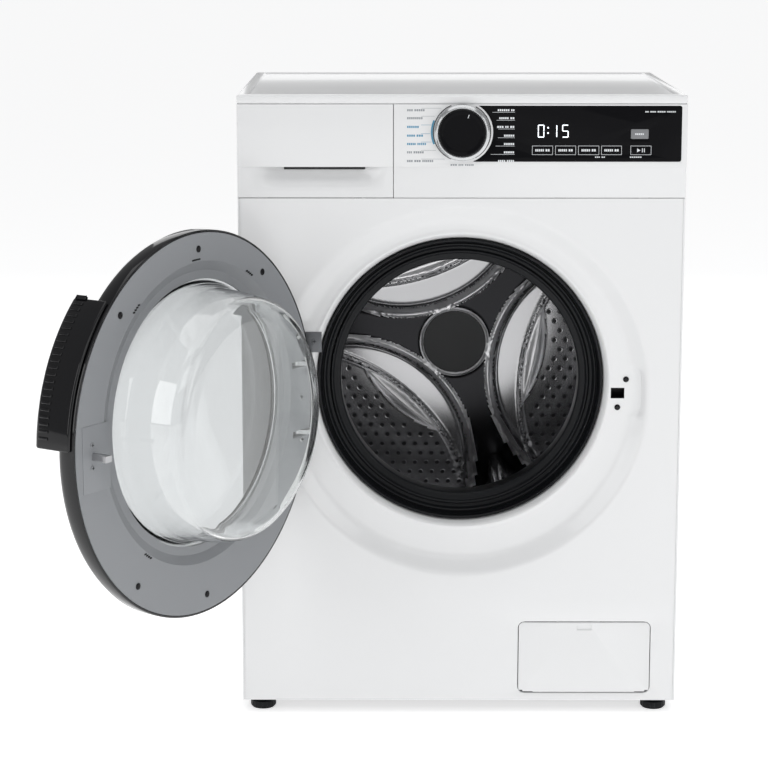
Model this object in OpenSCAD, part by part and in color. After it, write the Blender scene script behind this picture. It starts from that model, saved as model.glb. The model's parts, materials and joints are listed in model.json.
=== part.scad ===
// Front load washing machine, modelled with its door standing open.
// Origin: floor level, centre of the cabinet's footprint. +X right, +Y to the rear, +Z up.

/* [Cabinet] */
// Overall width of the cabinet
body_w = 595; // [560:5:720]
// Overall height, floor to worktop
body_h = 850; // [820:5:1020]
// Depth, front panel to rear edge
body_d = 470; // [440:5:600]
// Sheet steel thickness
sheet = 1.2; // [0.8:0.1:2]
// Height of the cabinet's underside above the floor
foot_gap = 18; // [14:1:30]
// Worktop thickness
worktop_t = 12; // [8:1:30]
// Width of the worktop's raised border
worktop_rim = 22; // [12:1:40]

/* [Control panel] */
// Height of the control panel, front panel to worktop
fascia_h = 125; // [110:1:150]
// Height of its set-back lower strip
strip_h = 42; // [34:1:50]
// How far its upper part stands proud of the front panel
fascia_proud = 4; // [2:1:8]
// Wall of the control panel and the drawer front
fascia_wall = 3; // [2:0.5:4]
// Width of the drawer front
drawer_w = 207; // [180:1:240]
// Length of the drawer tray
tray_len = 200; // [150:5:240]
// Gap round the drawer front
panel_gap = 0.8; // [0.4:0.1:2]
// Diameter of the program knob
knob_d = 74; // [50:1:84]
// How far the knob stands out
knob_t = 18; // [12:1:26]
// Travel of each key
key_travel = 1; // [0.5:0.1:2]

/* [Door] */
// Radius of the door
door_r = 245; // [200:1:255]
// Thickness of the door without its handle
door_t = 30; // [26:1:40]
// Width of the door's ring round the glass, at its mean
ring_w = 77; // [60:1:90]
// Depth of the glass bowl behind the door's ring
bowl_depth = 86; // [60:1:100]
// Distance of the bowl's centre above the door's centre
port_lift = 14; // [0:1:20]
// Angle at which the door stands open
door_open = 123; // [0:1:130]
// Depth of the round recess in the front panel
recess_depth = 14; // [10:1:20]
// Width of the recess's bevel
recess_bevel = 20; // [10:1:30]

/* [Drum and tub] */
// Gap between the tub and each side panel
tub_side_gap = 37; // [30:1:60]
// Wall of the plastic tub
tub_wall = 4; // [3:0.5:6]
// Radial gap between the drum and the tub
drum_gap = 22; // [16:1:30]
// Radius of the drum pulley
pulley_r = 145; // [120:1:150]
// Radius of the motor pulley
motor_pulley_r = 10; // [8:1:16]
// Radius of the drum shaft
shaft_r = 12.5; // [10:0.5:16]

/* [Base] */
// Radius of a foot
foot_r = 17; // [14:1:22]
// Width of the filter flap
flap_w = 180; // [140:1:200]
// Height of the filter flap
flap_h = 100; // [90:1:110]

/* [Hidden] */
$fn = 96;
eps = 0.01;
running = 0.05;
y_front = -body_d / 2;
y_back = body_d / 2;
x_side = body_w / 2;

// Heights
top_z = body_h - worktop_t;
fascia_z = top_z - fascia_h;
step_z = fascia_z + strip_h;
recess_gap = 15;
recess_r = door_r + 4;
door_x = 2;
door_z = fascia_z - recess_gap - recess_r;
axis_z = door_z + port_lift;

// Door hinge, inside the door's edge
hinge_inset = 21;
hinge_out = 12;
hinge_x = door_x - door_r + hinge_inset;
hinge_y = y_front - hinge_out;
hinge_mid = door_z - 2;
hinge_levels = [hinge_mid - 48, hinge_mid + 48];
hinge_pin_r = 2.5;
arm_t = 6;
arm_reach = 20;
arm_w = 9;
hinge_plate_h = 156;
pocket_angle = 22;

// Door stack, from the ring's inner face towards the user
ring_t = 9;
glass_r = door_r - ring_w;
glass_wall = 4;
bowl_end_r = glass_r - 18;
window_seat_r = glass_r + 18;
handle_t = 28;
latch_x = door_x + door_r - 34;
latch_z = door_z - 2;
latch_w = 18.4;
latch_h = 14.6;

// Round parts on the drum's axis
neck_r = glass_r + 26;
neck_back = y_front + 46;
lip_r = glass_r - 6;
tub_y0 = y_front + 52;
tub_r = body_w / 2 - tub_side_gap;
tub_flange = 8;
drum_r = tub_r - tub_wall - drum_gap;
pulley_w = 14;
pulley_y = y_back - 44;
tub_y1 = pulley_y - 43;
tub_seam = tub_y0 + 100;
tub_back_wall = 6;
drum_sheet = 1.2;
drum_y0 = tub_y0 + tub_wall + 28;
drum_y1 = tub_y1 - tub_back_wall - 30;
drum_mouth_r = glass_r + 4;
bearing_r = 26;
bearing_w = 12;

// Motor, below the tub
motor_r = 48;
motor_len = 110;
motor_angle = -48;
motor_reach = tub_r + motor_r + 12;
motor_x = motor_reach * cos(motor_angle);
motor_z = axis_z + motor_reach * sin(motor_angle);
motor_y1 = pulley_y - 20;

// Drain filter and pump
flap_x = 172;
flap_z = 29 + flap_h / 2;
pump_x = flap_x;
pump_z = flap_z;
pump_y0 = y_front + 20;
pump_y1 = y_front + 110;
pump_r = 36;
hose_x = x_side - 42;
hose_z = 100;
spigot_r = 9.6;

// Inlet and mains at the rear
inlet_x = -x_side + 97.5;
inlet_z = top_z - 48;
thread_r = 13.2;
gland_x = x_side - 60;

// Feet
foot_x = x_side - 26.5;
foot_y0 = y_front + 30;
foot_y1 = y_back - 30;
foot_places = [[-foot_x, foot_y0], [foot_x, foot_y0], [-foot_x, foot_y1], [foot_x, foot_y1]];
stem_r = 5;

// Control panel
split_x = -body_w / 2 + drawer_w;
housing_z = fascia_z + 4;
housing_clear = sqrt(max(0, pow(tub_r + tub_flange + 2, 2) - pow(housing_z - axis_z, 2)));
housing_x1 = min(split_x - 12, -housing_clear);
window_x0 = 14;
window_x1 = x_side - 7.5;
window_z0 = step_z + 7;
window_z1 = top_z - 2;
window_t = 2.5;
knob_x = 0;
knob_z = fascia_z + 88;
fascia_y = y_front - fascia_proud;
board_y = y_front + 8;
key_row_z = fascia_z + 64.2;
key_h = 12.8;
key_gap = 0.2;
power_z = fascia_z + 85.6;

// ---- Helpers ----

// Box between two corners
module box(x0, x1, y0, y1, z0, z1) {
  translate([x0, y0, z0]) cube([x1 - x0, y1 - y0, z1 - z0]);
}

// Cylinder along Y
module ycyl(r, y0, y1) {
  translate([0, y0, 0]) rotate([-90, 0, 0]) cylinder(r = r, h = y1 - y0);
}

// Ring along Y
module yring(ro, ri, y0, y1) {
  difference() {
    ycyl(ro, y0, y1);
    ycyl(ri, y0 - 1, y1 + 1);
  }
}

// Profile of (radius, y) points turned about the Y axis
module yturn(points) {
  rotate([-90, 0, 0]) rotate_extrude() polygon(points);
}

// Flat outline in X and Z, given thickness along Y
module yplate(y0, y1) {
  translate([0, y1, 0]) rotate([90, 0, 0]) linear_extrude(y1 - y0) children();
}

// Rectangle with round corners, on its centre
module round_rect(w, h, r) {
  square([w - 2 * r, h], center = true);
  square([w, h - 2 * r], center = true);
  for (sx = [-1, 1], sz = [-1, 1])
    translate([sx * (w / 2 - r), sz * (h / 2 - r)]) circle(r = r);
}

// Straight tube or rod between two points
module rod(a, b, r) {
  v = b - a;
  len_v = norm(v);
  translate(a)
    rotate([0, acos(v[2] / len_v), atan2(v[1], v[0])]) cylinder(r = r, h = len_v);
}

// Places what follows on the drum's axis
module on_axis() {
  translate([0, 0, axis_z]) children();
}

// Places what follows on the door's own centre, door closed
module on_door() {
  translate([door_x, 0, door_z]) children();
}

// Turns the closed door to where it stands open
module opened() {
  translate([hinge_x, hinge_y, 0]) rotate([0, 0, -door_open])
    translate([-hinge_x, -hinge_y, 0]) children();
}

// ---- Cabinet ----

// Left panel with its front hem, flanges and spring bracket
module side_panel_shape() {
  hem = 2.6;
  flange = 16;
  box(-x_side, -x_side + sheet, y_front + 0.5, y_back - 2, foot_gap, fascia_z);
  box(-x_side, -x_side + sheet, y_front + fascia_wall + 0.2, y_back - 2, fascia_z - 1, top_z);
  box(-x_side, -x_side + hem, y_front + 0.5, y_front + 3, foot_gap, fascia_z);
  box(-x_side, -x_side + flange, y_front + sheet + 0.6, y_front + 3, foot_gap, fascia_z);
  box(-x_side, -x_side + flange, y_back - 5, y_back - 3.2, foot_gap, top_z);
  box(-x_side, -x_side + 45, spring_y - 10, spring_y + 10, top_z - 38, top_z - 35);
}

module left_side_panel() {
  color("white") side_panel_shape();
}

module right_side_panel() {
  color("white") mirror([1, 0, 0]) side_panel_shape();
}

transit_dz = 90;
transit_hole_r = 6.5;
cover_r = pulley_r + 20;

module rear_panel() {
  color("gainsboro") difference() {
    box(-x_side + sheet, x_side - sheet, y_back - 3.2, y_back - 2, foot_gap, top_z);
    on_axis() ycyl(cover_r - 10, y_back - 5, y_back);
    for (sx = [-1, 1], sz = [-1, 1])
      translate([sx * (cover_r + 5), 0, axis_z + sz * transit_dz])
        ycyl(transit_hole_r, y_back - 5, y_back);
    translate([inlet_x, 0, inlet_z]) ycyl(thread_r + 1, y_back - 5, y_back);
    translate([hose_x, 0, hose_z]) ycyl(11, y_back - 5, y_back);
    translate([gland_x, 0, inlet_z]) ycyl(8, y_back - 5, y_back);
  }
}

module rear_service_cover() {
  color("silver") on_axis() ycyl(cover_r, y_back - 2, y_back - 0.8);
}

floor_y = y_front + recess_depth;
floor_r = recess_r - recess_bevel;

// Sector beside the hinge where the recess keeps its full depth, for the door's edge
module hinge_pocket(grow) {
  on_door() arc_block(recess_r - 2 + grow, floor_r - 2, y_front - 1, floor_y + grow,
    180 - pocket_angle - grow / 3, 180 + pocket_angle + grow / 3);
}

// Front sheet with the door's recess, the porthole's neck, latch slot and flap opening
module front_panel() {
  mouth_r = neck_r + 7;
  plate_x1 = hinge_x + arm_reach;
  color("white") difference() {
    union() {
      difference() {
        hinge_pocket(sheet);
        on_door() yturn([[0, y_front - 2], [recess_r, y_front - 2], [recess_r, y_front], [floor_r, floor_y],
          [0, floor_y]]);
        on_door() ycyl(floor_r - 1, floor_y - 1, floor_y + 5);
      }
      difference() {
        box(-x_side + 3, x_side - 3, y_front, y_front + sheet, foot_gap, fascia_z);
        on_door() ycyl(recess_r, y_front - 1, y_front + 5);
      }
      on_door() yturn([
        [recess_r + 1, y_front], [recess_r, y_front], [floor_r, floor_y], [floor_r - 1, floor_y],
        [floor_r - 1, floor_y + sheet], [floor_r, floor_y + sheet],
        [recess_r, y_front + sheet], [recess_r + 1, y_front + sheet]
      ]);
      difference() {
        on_door() ycyl(floor_r - 0.5, floor_y, floor_y + sheet);
        on_axis() ycyl(mouth_r - 0.5, floor_y - 1, floor_y + 5);
      }
      on_axis() yturn([
        [mouth_r, floor_y], [neck_r, floor_y + 10], [neck_r, neck_back],
        [neck_r + sheet, neck_back], [neck_r + sheet, floor_y + 11], [mouth_r, floor_y + sheet]
      ]);
    }
    hinge_pocket(0);
    box(hinge_x - 3, plate_x1 - arm_w - 0.4, floor_y - 1, floor_y + 5, hinge_mid - hinge_plate_h / 2 + 4,
      hinge_mid + hinge_plate_h / 2 - 4);
    for (z = hinge_levels)
      box(hinge_x, plate_x1 + 0.4, floor_y - 1, floor_y + 5, z - arm_t / 2 - 0.4, z + arm_t / 2 + 0.4);
    translate([latch_x, 0, latch_z]) box(-latch_w / 2, latch_w / 2, y_front, y_front + 20,
      -latch_h / 2, latch_h / 2);
    translate([flap_x, 0, flap_z]) yplate(y_front - 1, y_front + 5)
      round_rect(flap_w + 2 * panel_gap, flap_h + 2 * panel_gap, 8);
  }
}

module worktop() {
  recess = 1.5;
  color("white") difference() {
    box(-x_side, x_side, fascia_y, y_back - 2, top_z, body_h);
    box(-x_side + worktop_rim, x_side - worktop_rim, fascia_y + worktop_rim,
      y_back - 2 - worktop_rim, body_h - recess, body_h + 1);
  }
}

// Tray that closes the cabinet from below and takes the feet
module base_tray() {
  h = 20;
  wall = 3;
  x1 = x_side - sheet;
  y0 = y_front + 3;
  y1 = y_back - 5;
  color("dimgray") difference() {
    union() {
      difference() {
        box(-x1, x1, y0, y1, foot_gap, foot_gap + h);
        box(-x1 + wall, x1 - wall, y0 + wall, y1 - wall, foot_gap + wall, foot_gap + h + 1);
      }
      for (p = foot_places)
        translate([p[0], p[1], foot_gap]) cylinder(r = stem_r + 7, h = h);
    }
    for (p = foot_places)
      translate([p[0], p[1], 0]) cylinder(r = stem_r + running, h = foot_gap + h + 10);
  }
}

// One levelling foot: rubber pad on a threaded stem
module foot(i) {
  p = foot_places[i];
  color("black") translate([p[0], p[1], 0]) {
    cylinder(r = foot_r - 2, h = 3);
    translate([0, 0, 2]) cylinder(r = foot_r, h = 8);
    translate([0, 0, 10]) cylinder(r1 = foot_r, r2 = foot_r - 5, h = 3);
    cylinder(r = stem_r, h = foot_gap + 42);
  }
}

module foot_front_left() {
  foot(0);
}

module foot_front_right() {
  foot(1);
}

module foot_rear_left() {
  foot(2);
}

module foot_rear_right() {
  foot(3);
}

// ---- Control panel ----

// Stepped wall shared by the control panel and the drawer front
module stepped_front(x0, x1) {
  w = fascia_wall;
  box(x0, x1, fascia_y, fascia_y + w, step_z, top_z - 0.2);
  box(x0, x1, fascia_y, y_front + w, step_z, step_z + w);
  box(x0, x1, y_front, y_front + w, fascia_z + panel_gap, step_z + w);
}

// Outline of the display window, hollowed round the knob
module window_outline(shrink = 0) {
  difference() {
    translate([(window_x0 + window_x1) / 2, (window_z0 + window_z1) / 2])
      round_rect(window_x1 - window_x0 - 2 * shrink, window_z1 - window_z0 - 2 * shrink, 3);
    translate([knob_x, knob_z]) circle(r = knob_d / 2 + 4 + shrink);
  }
}

module control_fascia() {
  w = fascia_wall;
  x0 = split_x + panel_gap / 2;
  x1 = x_side - 4;
  color("white") difference() {
    union() {
      stepped_front(x0, x_side);
      box(x0, x1, fascia_y, y_front + 30, top_z - 0.2 - w, top_z - 0.2);
      box(x0, x1, y_front, y_front + 30, fascia_z + panel_gap, fascia_z + panel_gap + w);
      box(x0, x0 + w, y_front, y_front + 30, fascia_z + panel_gap, top_z - 0.2);
      box(x1 - w, x1, y_front, y_front + 30, fascia_z + panel_gap, top_z - 0.2);
    }
    yplate(fascia_y - 1, fascia_y + window_t) window_outline();
    yplate(fascia_y, fascia_y + w + 5) window_outline(2);
    translate([knob_x, 0, knob_z]) ycyl(5, fascia_y - 1, fascia_y + w + 1);
  }
}

// Keys: centre x, width and centre z of each
key_sizes = [
  [106.4, 28.2, key_row_z],
  [136.9, 28, key_row_z],
  [167.4, 28.3, key_row_z],
  [197.6, 27.7, key_row_z],
  [236.4, 28.1, key_row_z],
  [234.5, 23.4, power_z]
];

module key_outline(i, grow) {
  k = key_sizes[i];
  translate([k[0], k[2]]) round_rect(k[1] + 2 * grow, key_h + 2 * grow, 1.5);
}

// One push key: cap in the window and plunger behind it
module key(i) {
  k = key_sizes[i];
  yplate(fascia_y + 0.3, fascia_y + window_t + 1) key_outline(i, 0);
  translate([k[0], 0, k[2]]) ycyl(2.5, fascia_y + 3, board_y - key_travel - 0.5);
}

module display_window() {
  color("black") difference() {
    yplate(fascia_y + 0.3, fascia_y + window_t) window_outline(0.2);
    for (i = [0:5])
      yplate(fascia_y - 1, fascia_y + 5) key_outline(i, key_gap);
  }
}

module display_board() {
  color("darkgreen") union() {
    box(knob_x - 24, window_x1 - 8, board_y, board_y + 1.6, window_z0 + 2, window_z1 - 4);
    box(88, 158, board_y - 6, board_y, fascia_z + 78, fascia_z + 108);
    difference() {
      translate([knob_x, 0, knob_z]) ycyl(9, board_y - 7, board_y + 1);
      translate([knob_x, 0, knob_z]) ycyl(3 + running, board_y - 8, board_y - 0.5);
    }
  }
}

module program_knob() {
  r = knob_d / 2;
  y0 = fascia_y - knob_t;
  color("black") translate([knob_x, 0, knob_z]) {
    yturn([
      [0, y0 + 1], [r - 5.5, y0 + 1], [r - 4, y0], [r - 1.5, y0], [r, y0 + 3],
      [r, fascia_y - 1], [r - 2, fascia_y - 0.5], [0, fascia_y - 0.5]
    ]);
    ycyl(3, fascia_y - 2, board_y - 1);
  }
}

module speed_key() {
  color("black") key(0);
}

module temperature_key() {
  color("black") key(1);
}

module delay_key() {
  color("black") key(2);
}

module function_key() {
  color("black") key(3);
}

module start_key() {
  color("black") key(4);
}

module power_key() {
  color("gray") key(5);
}

// ---- Detergent drawer ----

tray_x0 = -x_side + 18;
tray_x1 = housing_x1 - 6;
tray_z0 = fascia_z + 12;
tray_z1 = top_z - 40;
tray_y0 = y_front + 22.5;
cell_x = [for (share = [0.36, 0.68]) tray_x0 + share * (tray_x1 - tray_x0)];
scoop_depth = 20;

module drawer_front() {
  w = 2.5;
  x0 = -x_side + 12;
  x1 = split_x - 4;
  z0 = fascia_z + 10;
  color("white") difference() {
    union() {
      stepped_front(-x_side, split_x - panel_gap / 2);
      box(x0, x1, y_front, y_front + scoop_depth + w, z0, step_z + fascia_wall);
    }
    box(x0 + w, x1 - w, y_front - 1, y_front + scoop_depth, z0 + w, step_z - eps);
  }
}

module drawer_tray() {
  wall = 2;
  y1 = tray_y0 + tray_len;
  cells = [tray_x0 + wall, cell_x[0], cell_x[1], tray_x1];
  color("whitesmoke") difference() {
    box(tray_x0, tray_x1, tray_y0, y1, tray_z0, tray_z1);
    for (i = [0:2])
      box(cells[i] + (i > 0 ? wall : 0), cells[i + 1] - (i < 2 ? 0 : wall), tray_y0 + wall, y1 - wall,
        tray_z0 + wall, tray_z1 + 1);
  }
}

// Siphon cover that clips into the middle compartment
module softener_cap() {
  x0 = cell_x[0] + 2.3;
  x1 = cell_x[1] - 0.3;
  y0 = tray_y0 + tray_len - 62;
  color("steelblue") {
    box(x0, x1, y0, y0 + 58, tray_z1 - 12, tray_z1 - 9);
    translate([(x0 + x1) / 2, y0 + 36, tray_z0 + 6]) cylinder(r = 8, h = tray_z1 - tray_z0 - 17);
  }
}

module dispenser_housing() {
  wall = 2.5;
  y0 = y_front + scoop_depth + 4;
  y1 = tray_y0 + tray_len + 8;
  x0 = -x_side + 5;
  color("whitesmoke") difference() {
    box(x0, housing_x1, y0, y1, housing_z, top_z - 26);
    box(x0 + wall, housing_x1 - wall, y0 - 1, y1 - wall, housing_z + wall, top_z - 26 - wall);
  }
}

// Water hose from the valve to the dispenser, and the bellows from the dispenser to the tub
module dispenser_hoses() {
  y1 = tray_y0 + tray_len + 8;
  bellows_x = housing_x1 - 24;
  bellows_y = y1 - 28;
  color("dimgray") {
    translate([inlet_x, 0, housing_z + 70]) ycyl(8, y1, y1 + 20);
    rod([inlet_x, y1 + 20, housing_z + 70], [inlet_x, y_back - 60, inlet_z], 8);
    translate([inlet_x, y1 + 20, housing_z + 70]) sphere(r = 8);
    translate([inlet_x, y_back - 60, inlet_z]) sphere(r = 8);
    translate([inlet_x, 0, inlet_z]) ycyl(8, y_back - 60, y_back - 40);
    difference() {
      translate([bellows_x, bellows_y, axis_z]) cylinder(r = 20, h = housing_z - axis_z);
      on_axis() ycyl(tub_r, tub_y0, tub_y1);
    }
  }
}

// ---- Door furniture on the cabinet ----

// Rubber bellows between the porthole's neck and the tub
module door_gasket() {
  ro = neck_r - 0.2;
  collar_r = neck_r - 10;
  y0 = y_front + 30;
  y1 = neck_back;
  y2 = tub_y0 + 26;
  color("black") on_axis() yturn([
    [ro, y0], [ro, y1 + 4], [collar_r, y1 + 4], [collar_r, y2], [collar_r - 4, y2],
    [collar_r - 4, y1 + 8], [lip_r + 4, y1 + 8], [lip_r + 4, y2], [lip_r, y2], [lip_r, y1 + 2],
    [lip_r + 6, y1], [ro - 8, y1], [ro - 4, y1 - 4], [ro - 4, y0]
  ]);
}

// Plate behind the recess floor with the two arms that the door turns on
module hinge_plate() {
  plate_x1 = hinge_x + arm_reach;
  plate_y = floor_y + sheet;
  color("gray") difference() {
    union() {
      box(hinge_x - 6, plate_x1, plate_y, plate_y + 2, hinge_mid - hinge_plate_h / 2,
        hinge_mid + hinge_plate_h / 2);
      for (z = hinge_levels) {
        translate([hinge_x, hinge_y, z - arm_t / 2]) cylinder(r = 6.5, h = arm_t);
        box(hinge_x, plate_x1, hinge_y - arm_w / 2, hinge_y + arm_w / 2, z - arm_t / 2, z + arm_t / 2);
        box(plate_x1 - arm_w, plate_x1, hinge_y - arm_w / 2, plate_y + 1, z - arm_t / 2, z + arm_t / 2);
      }
    }
    translate([hinge_x, hinge_y, hinge_mid - 80]) cylinder(r = hinge_pin_r + running, h = 160);
  }
}

// Lock behind the latch slot
module door_lock() {
  y0 = y_front + recess_depth + sheet;
  color("white") translate([latch_x, 0, latch_z]) difference() {
    box(-latch_w / 2 - 2, 27, y0, y0 + 30, -34, 34);
    box(-latch_w / 2, latch_w / 2, y0 - 1, y0 + 26, -latch_h / 2, latch_h / 2);
  }
}

// ---- Tub and what hangs on it ----

module tub_front() {
  y1 = tub_y0;
  collar = neck_r - 9.8;
  color("lightgray") on_axis() difference() {
    yturn([
      [collar, y1], [tub_r, y1], [tub_r, tub_seam - 6], [tub_r + tub_flange, tub_seam - 6],
      [tub_r + tub_flange, tub_seam], [tub_r - tub_wall, tub_seam], [tub_r - tub_wall, y1 + tub_wall],
      [collar + 4, y1 + tub_wall], [collar + 4, y1 + 20], [collar, y1 + 20]
    ]);
    translate([40, y1 + 63, -tub_r - 5]) cylinder(r = 14, h = 40);
  }
}

heater_r = tub_r - tub_wall - drum_gap / 2;
heater_x = 32;

module tub_rear() {
  hub_y1 = pulley_y - 3;
  wall_y = tub_y1 - tub_back_wall;
  color("lightgray") on_axis() difference() {
    union() {
      yturn([
        [bearing_r, wall_y], [tub_r - tub_wall, wall_y], [tub_r - tub_wall, tub_seam],
        [tub_r + tub_flange, tub_seam], [tub_r + tub_flange, tub_seam + 6], [tub_r, tub_seam + 6],
        [tub_r, tub_y1], [bearing_r + 14, tub_y1], [bearing_r + 14, hub_y1], [bearing_r, hub_y1]
      ]);
      for (a = [0:30:330])
        rotate([0, a, 0]) box(bearing_r + 10, tub_r - 40, tub_y1 - eps, tub_y1 + 14, -1.5, 1.5);
    }
    for (sx = [-1, 1])
      translate([sx * heater_x, 0, -heater_r]) ycyl(4.2, wall_y - 1, tub_y1 + 30);
  }
}

// Ring segment about the Y axis, between two angles seen from the front
module arc_block(ro, ri, y0, y1, a0, a1) {
  translate([0, y1, 0]) rotate([90, 0, 0]) rotate([0, 0, a0])
    rotate_extrude(angle = a1 - a0) translate([ri, 0]) square([ro - ri, y1 - y0]);
}

// Two cast crescents on the tub's front and a block on its top
module counterweights() {
  ro = min(tub_r - 15, fascia_z - axis_z - 4);
  ri = neck_r + 6;
  color("darkgray") {
    on_axis() arc_block(ro, ri, tub_y0 - 30, tub_y0, 35, 145);
    on_axis() arc_block(ro, ri, tub_y0 - 30, tub_y0, 215, 325);
    difference() {
      box(housing_x1 + 16, 150, tub_seam + 12, spring_y - 16, axis_z + tub_r - 70, top_z - 55);
      on_axis() ycyl(tub_r, tub_y0, tub_y1);
    }
  }
}

// Heating element lying in the tub's lowest part
module heater() {
  y0 = drum_y0 + 30;
  color("silver") on_axis() translate([0, 0, -heater_r]) {
    for (sx = [-1, 1])
      translate([sx * heater_x, 0, 0]) ycyl(4, y0, tub_y1 + 8);
    rotate([0, 90, 0]) translate([0, y0, -heater_x]) cylinder(r = 4, h = 2 * heater_x);
    for (sx = [-1, 1])
      translate([sx * heater_x, y0, 0]) sphere(r = 4);
    difference() {
      box(-heater_x - 10, heater_x + 10, tub_y1, tub_y1 + 3, -9, 9);
      for (sx = [-1, 1])
        translate([sx * heater_x, 0, 0]) ycyl(3.9, tub_y1 - 1, tub_y1 + 4);
    }
  }
}

module motor() {
  y0 = motor_y1 - motor_len;
  color("slategray") difference() {
    union() {
      translate([motor_x, 0, motor_z]) ycyl(motor_r, y0, motor_y1);
      translate([motor_x, 0, motor_z]) ycyl(18, motor_y1, motor_y1 + 8);
      on_axis() rotate([0, -motor_angle, 0])
        for (y = [y0 + 8, motor_y1 - 26])
          box(tub_r - 12, motor_reach - 10, y, y + 18, -22, 22);
    }
    on_axis() ycyl(tub_r, tub_y0, tub_y1 + 40);
    translate([motor_x, 0, motor_z]) ycyl(6 + running, motor_y1 - 40, motor_y1 + 20);
  }
}

module motor_pulley() {
  color("silver") translate([motor_x, 0, motor_z]) {
    ycyl(6, motor_y1 - 36, pulley_y + pulley_w);
    ycyl(motor_pulley_r, pulley_y, pulley_y + pulley_w);
    ycyl(motor_pulley_r + 2, pulley_y + pulley_w - 1.5, pulley_y + pulley_w);
  }
}

// Belt outline round both pulleys, grown by a margin
module belt_outline(grow) {
  a = pulley_r + grow;
  b = motor_pulley_r + grow;
  half = acos((a - b) / motor_reach);
  tangents = [
    [a * cos(motor_angle + half), a * sin(motor_angle + half)],
    [a * cos(motor_angle - half), a * sin(motor_angle - half)],
    [motor_x + b * cos(motor_angle - half), motor_z - axis_z + b * sin(motor_angle - half)],
    [motor_x + b * cos(motor_angle + half), motor_z - axis_z + b * sin(motor_angle + half)]
  ];
  circle(r = a);
  translate([motor_x, motor_z - axis_z]) circle(r = b);
  polygon(tangents);
}

module drive_belt() {
  color("black") on_axis() yplate(pulley_y + 2, pulley_y + pulley_w - 3) difference() {
    belt_outline(3.3);
    belt_outline(0.3);
  }
}

module bearings() {
  y0 = tub_y1 - tub_back_wall + 3;
  y1 = pulley_y - 5;
  color("silver") on_axis() {
    yring(bearing_r, shaft_r + running, y0, y0 + bearing_w);
    yring(bearing_r, shaft_r + running, y1 - bearing_w, y1);
  }
}

// Close-wound coil from one point to another, with straight hooks at its ends
module coil_spring(a, b, r, wire) {
  v = b - a;
  len_v = norm(v);
  hook = 22;
  turns = floor((len_v - 2 * hook) / (2 * wire));
  coil = turns * 2 * wire;
  translate(a) rotate([0, acos(v[2] / len_v), atan2(v[1], v[0])]) {
    cylinder(r = wire, h = hook + wire);
    translate([0, 0, len_v - hook - wire]) cylinder(r = wire, h = hook + wire);
    translate([0, 0, (len_v - coil) / 2]) rotate_extrude() difference() {
      union() {
        square([r - wire, coil]);
        for (i = [0:turns - 1])
          translate([r - wire, (2 * i + 1) * wire]) circle(r = wire, $fn = 16);
      }
      translate([0, 3]) square([r - 2 * wire, coil - 6]);
    }
  }
}

spring_y = tub_seam + 145;
spring_a = 56;

// Two springs that hang the tub from the side panels
module suspension_springs() {
  color("dimgray") for (s = [-1, 1])
    coil_spring([s * (x_side - 35), spring_y, top_z - 38.8],
      [s * tub_r * cos(spring_a) * 1.02, spring_y, axis_z + tub_r * sin(spring_a) * 1.02], 11, 2);
}

// One friction damper from the base to the tub
module damper(s) {
  y = tub_seam + 25;
  seat_x = tub_r - 50;
  lug_x = tub_r - 120.5;
  a = [s * seat_x, y, foot_gap + 3];
  b = [s * lug_x, y, axis_z - sqrt(pow(tub_r, 2) - pow(lug_x, 2)) + 4];
  m = a + 0.62 * (b - a);
  difference() {
    union() {
      rod(a + 0.04 * (b - a), m, 14);
      rod(a + 0.3 * (b - a), b, 5);
      translate([a[0] - 12, y - 12, a[2]]) cube([24, 24, 22]);
      translate(b + [-s * 2, 0, -6]) rotate([-90, 0, 0]) translate([0, 0, -12]) cylinder(r = 12, h = 24);
    }
    on_axis() ycyl(tub_r, tub_y0, tub_y1);
  }
}

module dampers() {
  color("dimgray") for (s = [-1, 1])
    damper(s);
}

// ---- Drum ----

module drum_shell() {
  color("silver") on_axis() yring(drum_r, drum_r - drum_sheet, drum_y0, drum_y1);
}

module drum_back() {
  dish = 8;
  y0 = drum_y1 - dish;
  color("silver") on_axis() yturn([
    [0, y0], [50, y0], [58, drum_y1 - drum_sheet], [drum_r - drum_sheet, drum_y1 - drum_sheet],
    [drum_r - drum_sheet, drum_y1], [58, drum_y1], [50, y0 + drum_sheet], [0, y0 + drum_sheet]
  ]);
}

module drum_front_ring() {
  lip = 5;
  r = drum_mouth_r;
  color("silver") on_axis() yturn([
    [r, drum_y0 - 4], [r + lip, drum_y0 - 8], [r + 2 * lip, drum_y0 - 4],
    [drum_r, drum_y0 - 4], [drum_r, drum_y0], [r + lip, drum_y0],
    [r + lip, drum_y0 + 12], [r, drum_y0 + 12]
  ]);
}

lifter_angles = [49, 169, 289];

// Three hollow lifters along the drum's wall
module drum_lifters() {
  r = drum_r - drum_sheet;
  h = 58;
  w = 34;
  color("gainsboro") on_axis() for (a = lifter_angles)
    translate([0, drum_y1 - 22, 0]) rotate([90, 0, 0]) rotate([0, 0, a])
      linear_extrude(drum_y1 - drum_y0 - 44) intersection() {
        polygon([[r - h, -5], [r - h, 5], [r - 6, w], [r + 4, w], [r + 4, -w], [r - 6, -w]]);
        circle(r = r - 0.05);
      }
}

// Three-armed casting behind the drum, with the shaft cast in
module drum_spider() {
  y0 = drum_y1;
  color("darkgray") on_axis() {
    ycyl(38, y0 - 6 + drum_sheet, y0 + 26);
    ycyl(shaft_r, y0, pulley_y + pulley_w + 3);
    for (a = lifter_angles)
      translate([0, y0 + 20, 0]) rotate([90, 0, 0]) rotate([0, 0, a])
        linear_extrude(20) polygon([[0, -20], [drum_r - 8, -13], [drum_r - 8, 13], [0, 20]]);
  }
}

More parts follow.
